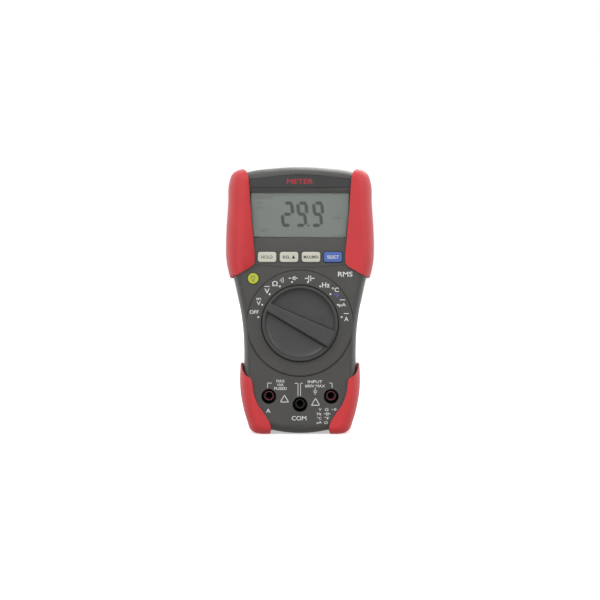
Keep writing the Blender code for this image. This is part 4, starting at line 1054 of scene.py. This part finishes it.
def knob_bar(rim_y):
    """The bar that the fingers turn, narrow at its pointer and wider at its tail."""
    reach = KNOB_RADIUS + MM
    bar = block(
        "bar",
        (-reach, KNOB_LOW.y, DIAL_Z - 3.9 * MM),
        (reach, rim_y + 2.2 * MM, DIAL_Z + 3.9 * MM),
    )
    edit(bar, "FACE")
    choose(bar, lambda face, middle: face.normal.x > 0.5)
    bpy.ops.transform.resize(value=(1, 1, 0.6), center_override=(reach, 0, DIAL_Z))
    choose(bar, lambda face, middle: face.normal.x < -0.5)
    bpy.ops.transform.resize(value=(1, 1, 1.3), center_override=(-reach, 0, DIAL_Z))
    choose(bar, lambda face, middle: face.normal.y > 0.5)
    bpy.ops.transform.resize(value=(1, 1, 1.25), center_override=(0, 0, DIAL_Z))
    choose(
        bar,
        lambda edge, middle: middle.x > reach - MM and middle.y < KNOB_LOW.y + 0.1 * MM,
        "edges",
    )
    bpy.ops.transform.translate(value=(0, 1.3 * MM, 0))
    bpy.ops.mesh.select_all(action="SELECT")
    bpy.ops.transform.rotate(
        value=math.radians(153.0), orient_axis="Y", center_override=(0, 0, DIAL_Z)
    )
    close_up(bar)
    bound = rod("bound", 0, DIAL_Z, KNOB_RADIUS - 0.9 * MM, -60 * MM, 60 * MM, sides=144)
    carved(bar, bound, "INTERSECT")
    edit(bar, "EDGE")
    choose(bar, is_top_edge, "edges")
    bpy.ops.mesh.bevel(offset=0.8 * MM, segments=5, affect="EDGES")
    return close_up(bar)


def make_keys():
    """Four keys from one pattern, with softly rolled edges, and the round lamp key."""
    first = button_names()[0]
    low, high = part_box(first)
    pattern = rounded_panel("key_pattern", low, high, 1.5 * MM, steps=6)
    roll_front_edge(pattern, low.y, 0.65 * MM)
    softened(pattern, 0.05 * MM, segments=1)
    for name in button_names():
        slot = "key_blue" if name == "select_button" else "key_cream"
        key = copied(pattern, name.replace("button", "key"))
        moved(key, x=middle_of(name).x - middle_of(first).x)
        fitted(key, name.replace("button", "key"), slot, name)
    bpy.data.objects.remove(pattern)

    low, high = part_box("backlight_button")
    middle = (low + high) / 2
    key = rod("lamp_key", middle.x, middle.z, (high.x - low.x) / 2, low.y, high.y, sides=64)
    roll_front_edge(key, low.y, 0.6 * MM)
    softened(key, 0.05 * MM, segments=1)
    fitted(key, "backlight_key", "key_yellow", "backlight_button")


def roll_front_edge(obj, front_y, radius):
    edit(obj, "EDGE")
    choose(obj, lambda edge, middle: abs(middle.y - front_y) < 0.01 * MM, "edges")
    bpy.ops.mesh.bevel(offset=radius, segments=5, affect="EDGES")
    return close_up(obj)


def socket_places():
    places = {}
    for name in ("a", "com", "v"):
        middle = middle_of(f"jack_contact_{name}")
        places[name] = (middle.x, middle.z)
    return places


def make_sockets():
    """Each socket's black barrel, its coloured collar and its split brass contact."""
    low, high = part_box("jack_barrel_a")
    outer = (high.x - low.x) / 2
    barrel = rod("barrel", 0, 0, outer, low.y, high.y)
    carved(barrel, rod("room", 0, 0, 4.45 * MM, low.y - MM, high.y - 3 * MM))
    carved(barrel, rod("through", 0, 0, 2.65 * MM, low.y, high.y + MM))
    softened(barrel, 0.15 * MM)
    low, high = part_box("jack_collar_a")
    collar = rod("collar", 0, 0, 2.95 * MM, low.y, high.y)
    carved(collar, rod("mouth", 0, 0, 2.1 * MM, low.y - MM, high.y))
    carved(collar, rod("room", 0, 0, 2.5 * MM, low.y + 6.5 * MM, high.y + MM))
    softened(collar, 0.2 * MM, segments=3)
    low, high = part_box("jack_contact_a")
    mouth = low.y + 7 * MM
    contact = rod("contact", 0, 0, 2.35 * MM, mouth, high.y)
    bore = rod("bore", 0, 0, 2.02 * MM, mouth - MM, high.y - 2.5 * MM)
    edit(bore, "FACE")
    choose(bore, lambda face, middle: face.normal.y > 0.5)
    bpy.ops.mesh.inset(thickness=1.9 * MM)
    bpy.ops.transform.translate(value=(0, 1.5 * MM, 0))
    carved(contact, close_up(bore))
    for half_x, half_z in ((3.0, 0.2), (0.2, 3.0)):
        low_slot = (-half_x * MM, mouth - MM, -half_z * MM)
        carved(contact, block("split", low_slot, (half_x * MM, mouth + 5 * MM, half_z * MM)))
    softened(contact, 0.08 * MM)
    patterns = {"barrel": barrel, "collar": collar, "contact": contact}
    for place, (x, z) in socket_places().items():
        slots = {"barrel": "black_plastic", "collar": "socket_red", "contact": "contact_brass"}
        if place == "com":
            slots["collar"] = "black_plastic"
        for kind, pattern in patterns.items():
            piece = copied(pattern, f"socket_{kind}_{place}")
            moved(piece, x, 0, z)
            fitted(piece, "case", slots[kind], f"jack_{kind}_{place}")
    for pattern in patterns.values():
        bpy.data.objects.remove(pattern)


# ---------------------------------------------------------------- lettering and display


def letters(words, x, z, y, height, width=None, weight=0.0):
    """A line of lettering of one height, centred at (x, z) and standing on a face at y."""
    put_down()
    bpy.ops.object.text_add(location=(0, 0, 0))
    text = bpy.context.object
    text.data.body = words
    text.data.size = height * 1.4
    text.data.extrude = INK / 2
    text.data.offset = weight * height
    text.data.resolution_u = 3
    bpy.ops.object.convert(target="MESH")
    text.rotation_euler.x = QUARTER
    settle(text)
    xs = [point.co.x for point in text.data.vertices]
    zs = [point.co.z for point in text.data.vertices]
    tall = height / (max(zs) - min(zs))
    wide = (width or (max(xs) - min(xs)) * tall) / (max(xs) - min(xs))
    middle = Vector(((max(xs) + min(xs)) / 2, 0, (max(zs) + min(zs)) / 2))
    for point in text.data.vertices:
        point.co -= middle
        point.co.x *= wide
        point.co.z *= tall
        point.co += Vector((x, y, z))
    edit(text, "VERT", "ALL")
    return close_up(text)


def bar(x1, z1, x2, z2, width, y):
    """A straight printed line."""
    put_down()
    length = math.hypot(x2 - x1, z2 - z1)
    turn = -math.atan2(z2 - z1, x2 - x1)
    bpy.ops.mesh.primitive_cube_add(
        size=1,
        location=((x1 + x2) / 2, y, (z1 + z2) / 2),
        rotation=(0, turn, 0),
        scale=(length + width * 0.4, INK, width),
    )
    return settle(bpy.context.object)


def dot(x, z, radius, y, sides=20):
    return rod("dot", x, z, radius, y - INK / 2, y + INK / 2, sides)


def mm_bars(y, level, width, *runs):
    """Printed lines in millimetres, each as x1, z1, x2, z2 above a level."""
    bars = []
    for x1, z1, x2, z2 in runs:
        bars.append(bar(x1 * MM, level + z1 * MM, x2 * MM, level + z2 * MM, width * MM, y))
    return bars


def arrow_head(x, z, size, y, turn):
    """A filled triangle that points along +X, turned anticlockwise about Y."""
    head = rod("head", 0, 0, size, -INK / 2, INK / 2, sides=3)
    edit(head, "VERT", "ALL")
    bpy.ops.transform.rotate(value=turn, orient_axis="Y", center_override=(0, 0, 0))
    close_up(head)
    return moved(head, x, y, z)


def diode_mark(x, z, y, size):
    """A diode's sign, so wide over all, centred at (x, z)."""
    half = size / 2
    thick = size * 0.09
    return [
        bar(x - half, z, x + half, z, thick, y),
        bar(x + half * 0.42, z - half * 0.42, x + half * 0.42, z + half * 0.42, thick, y),
        arrow_head(x - half * 0.02, z, half * 0.52, y, math.radians(-30)),
    ]


def capacitor_mark(x, z, y, size):
    half = size / 2
    thick = size * 0.1
    plate = half * 0.55
    parts = []
    for side in (-1, 1):
        near = x + side * half * 0.22
        parts.append(bar(near, z - plate, near, z + plate, thick, y))
        parts.append(bar(near, z, x + side * half, z, thick, y))
    return parts


def sound_mark(x, z, y, size):
    """Three short arcs that spread to the right."""
    parts = []
    for ring_number in (1, 2, 3):
        radius = size * ring_number / 3
        angles = [math.radians(a) for a in (-34, -12, 12, 34)]
        points = [(x + radius * math.cos(a), z + radius * math.sin(a)) for a in angles]
        for (x1, z1), (x2, z2) in zip(points, points[1:]):
            parts.append(bar(x1, z1, x2, z2, size * 0.11, y))
    return parts


def make_dial_markings():
    """The switch's ranges, printed round the dial, each with its dot."""
    y = PLATEAU_Y
    marks = []
    words = (
        ("OFF", -27.1, 6.7, 2.2, 5.4),
        ("m", -24.4, 14.4, 1.3, 2.6),
        ("V", -24.4, 11.9, 2.2, 2.4),
        ("V", -19.5, 19.1, 2.9, 2.9),
        ("Ω", -14.8, 23.5, 3.0, 3.3),
        ("Hz", 15.3, 22.7, 2.9, 4.6),
        ("°C", 20.9, 19.9, 2.7, 4.2),
        ("µA", 25.1, 10.8, 2.4, 4.2),
        ("A", 27.4, 2.6, 2.6, 2.5),
    )
    for word, x, rise, height, width in words:
        z = DIAL_Z + rise * MM
        marks.append(letters(word, x * MM, z, y, height * MM, width * MM, weight=0.02))
    marks += mm_bars(
        y,
        DIAL_Z,
        0.42,
        (-21.0, 21.8, -18.0, 21.8),
        (23.6, 13.9, 26.6, 13.9),
        (26.0, 5.8, 28.8, 5.8),
    )
    marks += diode_mark(-4.0 * MM, DIAL_Z + 26.7 * MM, y, 5.2 * MM)
    marks += capacitor_mark(5.7 * MM, DIAL_Z + 26.6 * MM, y, 5.4 * MM)
    marks += sound_mark(-12.6 * MM, DIAL_Z + 25.5 * MM, y, 2.9 * MM)
    for side in (-1, 1):
        for step in range(5):
            turn = math.radians(11.0 + 17.6 * step)
            x = side * DOT_RING * math.sin(turn)
            z = DIAL_Z + DOT_RING * math.cos(turn)
            marks.append(dot(x, z, 0.55 * MM, y))
    fitted(joined(marks, "dial_print"), "case", "case_grey", material=WHITE_INK)
    blue = letters("°F", 21.6 * MM, DIAL_Z + 16.4 * MM, y, 2.3 * MM, 3.4 * MM, weight=0.02)
    fitted(joined([blue], "dial_print_blue"), "case", "case_grey", material=BLUE_INK)


def make_face_markings():
    """What is printed on the flat of the face: by the grip, and round the sockets."""
    y = FACE_Y
    socket_z = socket_places()["a"][1]
    rms = letters("RMS", 26.8 * MM, DIAL_Z + 29.1 * MM, y, 2.9 * MM, 8.6 * MM, weight=0.02)
    marks = [rms]
    words = (
        ("A", -18.8, -8.5, 2.4, 2.6),
        ("COM", -0.6, -12.9, 2.6, 8.7),
        ("MAX", -11.5, 9.1, 1.7, 4.8),
        ("10A", -11.5, 6.9, 1.5, 3.6),
        ("FUSED", -11.5, 4.7, 1.7, 7.4),
        ("INPUT", 8.9, 8.7, 1.7, 8.6),
        ("600V MAX", 8.9, 6.2, 1.7, 11.8),
        ("V", 11.9, -7.7, 1.6, 1.6),
        ("Ω", 15.8, -7.7, 1.6, 2.0),
        ("Hz", 11.4, -10.3, 1.6, 2.6),
        ("°C", 11.4, -12.9, 1.6, 2.7),
        ("°F", 15.9, -12.9, 1.6, 2.6),
        ("µA", 11.4, -15.5, 1.7, 2.9),
        ("Ω", 15.4, -15.5, 1.6, 1.9),
    )
    for word, x, rise, height, width in words:
        z = socket_z + rise * MM
        marks.append(letters(word, x * MM, z, y, height * MM, width * MM, weight=0.01))
    marks += diode_mark(20.4 * MM, socket_z - 7.7 * MM, y, 3.2 * MM)
    marks += capacitor_mark(16.2 * MM, socket_z - 10.3 * MM, y, 3.6 * MM)
    marks += mm_bars(
        y,
        socket_z,
        0.32,
        (-19.2, 5.2, -19.2, 7.9),
        (-19.2, 7.9, -16.8, 7.9),
        (19.0, 5.2, 19.0, 7.9),
        (17.4, 7.9, 19.0, 7.9),
        (-3.0, 7.8, -1.2, 7.8),
        (-1.2, 7.8, -1.2, 0.4),
        (0.3, 7.8, 0.3, 0.4),
        (0.3, 7.8, 1.6, 7.8),
        (9.0, 3.2, 9.0, 5.0),
        (7.8, 3.2, 10.2, 3.2),
        (8.2, 2.3, 9.8, 2.3),
        (8.6, 1.4, 9.4, 1.4),
    )
    for x, rise in ((-9.2, -3.3), (9.2, -5.2)):
        corners = ((x - 2.4, rise), (x + 2.4, rise), (x, rise + 4.1))
        runs = [(*a, *b) for a, b in zip(corners, corners[1:] + corners[:1])]
        marks += mm_bars(y, socket_z, 0.42, *runs)
    fitted(joined(marks, "face_print"), "case", "case_grey", material=WHITE_INK)


def make_plate_lettering():
    middle = (PLATE_LOW + PLATE_HIGH) / 2
    word = letters("METER", 0, middle.z - 0.3 * MM, PLATE_LOW.y, 2.8 * MM, 15.5 * MM)
    fitted(joined([word], "plate_print"), "case", "plate_dark", material=RED_INK)


def make_key_lettering():
    words = {
        "hold_button": ("HOLD", 6.6, DARK_INK),
        "relative_button": ("REL Δ", 7.2, DARK_INK),
        "min_max_button": ("MAX/MIN", 8.6, DARK_INK),
        "select_button": ("SELECT", 6.9, WHITE_INK),
    }
    for node, (word, width, ink) in words.items():
        low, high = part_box(node)
        middle = (low + high) / 2
        word = letters(word, middle.x, middle.z, low.y, 1.9 * MM, width * MM, weight=0.015)
        key = node.replace("button", "key")
        slot = "key_blue" if node == "select_button" else "key_cream"
        fitted(joined([word], f"{key}_print"), key, slot, material=ink)
    low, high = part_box("backlight_button")
    x, z, y = (low.x + high.x) / 2, (low.z + high.z) / 2, low.y
    glass = [(x + 1.05 * MM * math.cos(a), z + 0.45 * MM + 1.05 * MM * math.sin(a))
             for a in (math.radians(d) for d in range(-55, 236, 29))]
    lamp = [bar(*a, *b, 0.26 * MM, y) for a, b in zip(glass, glass[1:])]
    for drop in (0.75, 1.2, 1.6):
        half = (0.55 if drop < 1.5 else 0.3) * MM
        lamp.append(bar(x - half, z - drop * MM, x + half, z - drop * MM, 0.24 * MM, y))
    fitted(joined(lamp, "lamp_key_print"), "backlight_key", "key_yellow", material=DARK_INK)


LEAN = math.tan(math.radians(6.0))
STROKE = 2.0 * MM
LIT = {"2": "abged", "9": "abcdfg"}


def crystal_bar(x, z, length, y, upright):
    """One bar of a figure: a six-sided stick with pointed ends, flat on the glass."""
    end = length / 2
    shoulder = end - STROKE / 2
    half = STROKE / 2
    knots = [(end, 0.0), (shoulder, half), (-shoulder, half)]
    knots += [(-end, 0.0), (-shoulder, -half), (shoulder, -half)]
    stick = slab("stick", cornered(knots), -INK / 2, INK / 2)
    if upright:
        edit(stick, "VERT", "ALL")
        turn = QUARTER + math.atan(LEAN)
        bpy.ops.transform.rotate(value=turn, orient_axis="Y", center_override=(0, 0, 0))
        close_up(stick)
    return moved(stick, x, y, z)


def figure(number, left, low, y):
    """A leaning seven-bar figure whose lower left corner is at (left, low)."""
    wide = 4.9 * MM
    half = 6.6 * MM
    gap = 0.25 * MM
    places = {
        "a": (0.5, 2.0, False),
        "g": (0.5, 1.0, False),
        "d": (0.5, 0.0, False),
        "f": (0.0, 1.5, True),
        "b": (1.0, 1.5, True),
        "e": (0.0, 0.5, True),
        "c": (1.0, 0.5, True),
    }
    bars = []
    for key in LIT[number]:
        u, v, upright = places[key]
        z = low + v * half
        x = left + u * wide + LEAN * (z - low)
        length = half - gap if upright else wide - gap
        bars.append(crystal_bar(x, z, length, y, upright))
    return bars


def make_display():
    """What the crystal shows: a reading, its unit and faint signs at the left."""
    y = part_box("lcd_glass")[0].y - INK / 2
    low = WINDOW_LOW.z
    bars = []
    for number, left in (("2", -10.6), ("9", -2.1), ("9", 7.3)):
        bars += figure(number, left * MM, low + 7.1 * MM, y)
    bars.append(dot(5.0 * MM, low + 7.0 * MM, 0.6 * MM, y))
    fitted(joined(bars, "reading"), "case", "display_grey", material=CRYSTAL_DARK)
    signs = [
        letters("mV", 21.8 * MM, low + 11.7 * MM, y, 2.1 * MM, 4.6 * MM),
        letters("AUTO DC", -20.6 * MM, low + 23.7 * MM, y, 1.7 * MM, 8.9 * MM),
        letters("REL", -23.9 * MM, low + 20.4 * MM, y, 1.3 * MM, 3.6 * MM),
        letters("HOLD", -23.7 * MM, low + 17.6 * MM, y, 1.3 * MM, 4.2 * MM),
        letters("BATT", -20.9 * MM, low + 4.0 * MM, y, 1.6 * MM, 4.4 * MM),
    ]
    fitted(joined(signs, "faint_signs"), "case", "display_grey", material=CRYSTAL_FAINT)


# ---------------------------------------------------------------- studio


def area_light(name, place, target, size, power, colour=(1, 1, 1)):
    put_down()
    bpy.ops.object.light_add(type="AREA", location=place)
    light = named(name)
    light.data.shape = "DISK"
    light.data.size = size
    light.data.energy = power
    light.data.color = colour
    aim = Vector(target) - Vector(place)
    light.rotation_euler = aim.to_track_quat("-Z", "Y").to_euler()
    return light


def light_the_room():
    """White light from every side and above, and a dim one from below."""
    world = bpy.data.worlds.new("studio")
    bpy.context.scene.world = world
    world.use_nodes = True
    tree = world.node_tree
    tree.nodes["Background"].inputs["Color"].default_value = (1, 1, 1, 1)
    direction = tree.nodes.new("ShaderNodeTexCoord").outputs["Generated"]
    height = tree.nodes.new("ShaderNodeSeparateXYZ")
    tree.links.new(direction, height.inputs["Vector"])
    ramp = tree.nodes.new("ShaderNodeMapRange")
    ramp.inputs["From Min"].default_value = -0.35
    ramp.inputs["From Max"].default_value = -0.02
    ramp.inputs["To Min"].default_value = LIGHT_FROM_BELOW
    ramp.inputs["To Max"].default_value = 1.0
    tree.links.new(height.outputs["Z"], ramp.inputs["Value"])
    tree.links.new(ramp.outputs["Result"], tree.nodes["Background"].inputs["Strength"])


def make_studio():
    """A white floor under soft light from all round, and the camera level with the meter."""
    put_down()
    bpy.ops.mesh.primitive_plane_add(size=40, location=(0, 0, 0))
    floor = named("floor")
    material, tree, shader = finish("floor white", (0.93, 0.93, 0.93), 0.9, specular=0.0)
    tone = blended(tree, noise(tree, 3.0), (0.92, 0.92, 0.92), (0.94, 0.94, 0.94))
    tree.links.new(tone, shader.inputs["Base Color"])
    shader.inputs["Emission Color"].default_value = (1, 1, 1, 1)
    shader.inputs["Emission Strength"].default_value = 0.45
    floor.data.materials.append(material)
    floor.visible_diffuse = False
    floor.visible_glossy = False
    floor.visible_shadow = False

    light_the_room()
    middle = (0, 0, MIDDLE_Z)
    area_light("key light", (-0.5, -0.9, 0.9), middle, 0.5, 3.0)
    area_light("fill light", (0.8, -0.7, 0.5), middle, 0.7, 1.5)
    area_light("back light", (0.3, 1.0, 0.9), middle, 0.8, 3.0)

    put_down()
    distance = 0.6
    bpy.ops.object.camera_add(
        location=(0, FACE_Y - distance, DIAL_Z + 13.8 * MM), rotation=(QUARTER, 0, 0)
    )
    camera = named("camera")
    camera.data.lens = 60.8
    camera.data.sensor_width = 36
    camera.data.clip_start = 0.01
    scene = bpy.context.scene
    scene.camera = camera
    scene.view_settings.view_transform = "Standard"


dress_packed_nodes()
make_studio()
make_front_half()
make_rear_half()
make_grips()
make_door()
make_stand()
make_screws()
make_knob()
make_keys()
make_sockets()
make_dial_markings()
make_face_markings()
make_plate_lettering()
make_key_lettering()
make_display()
put_down()
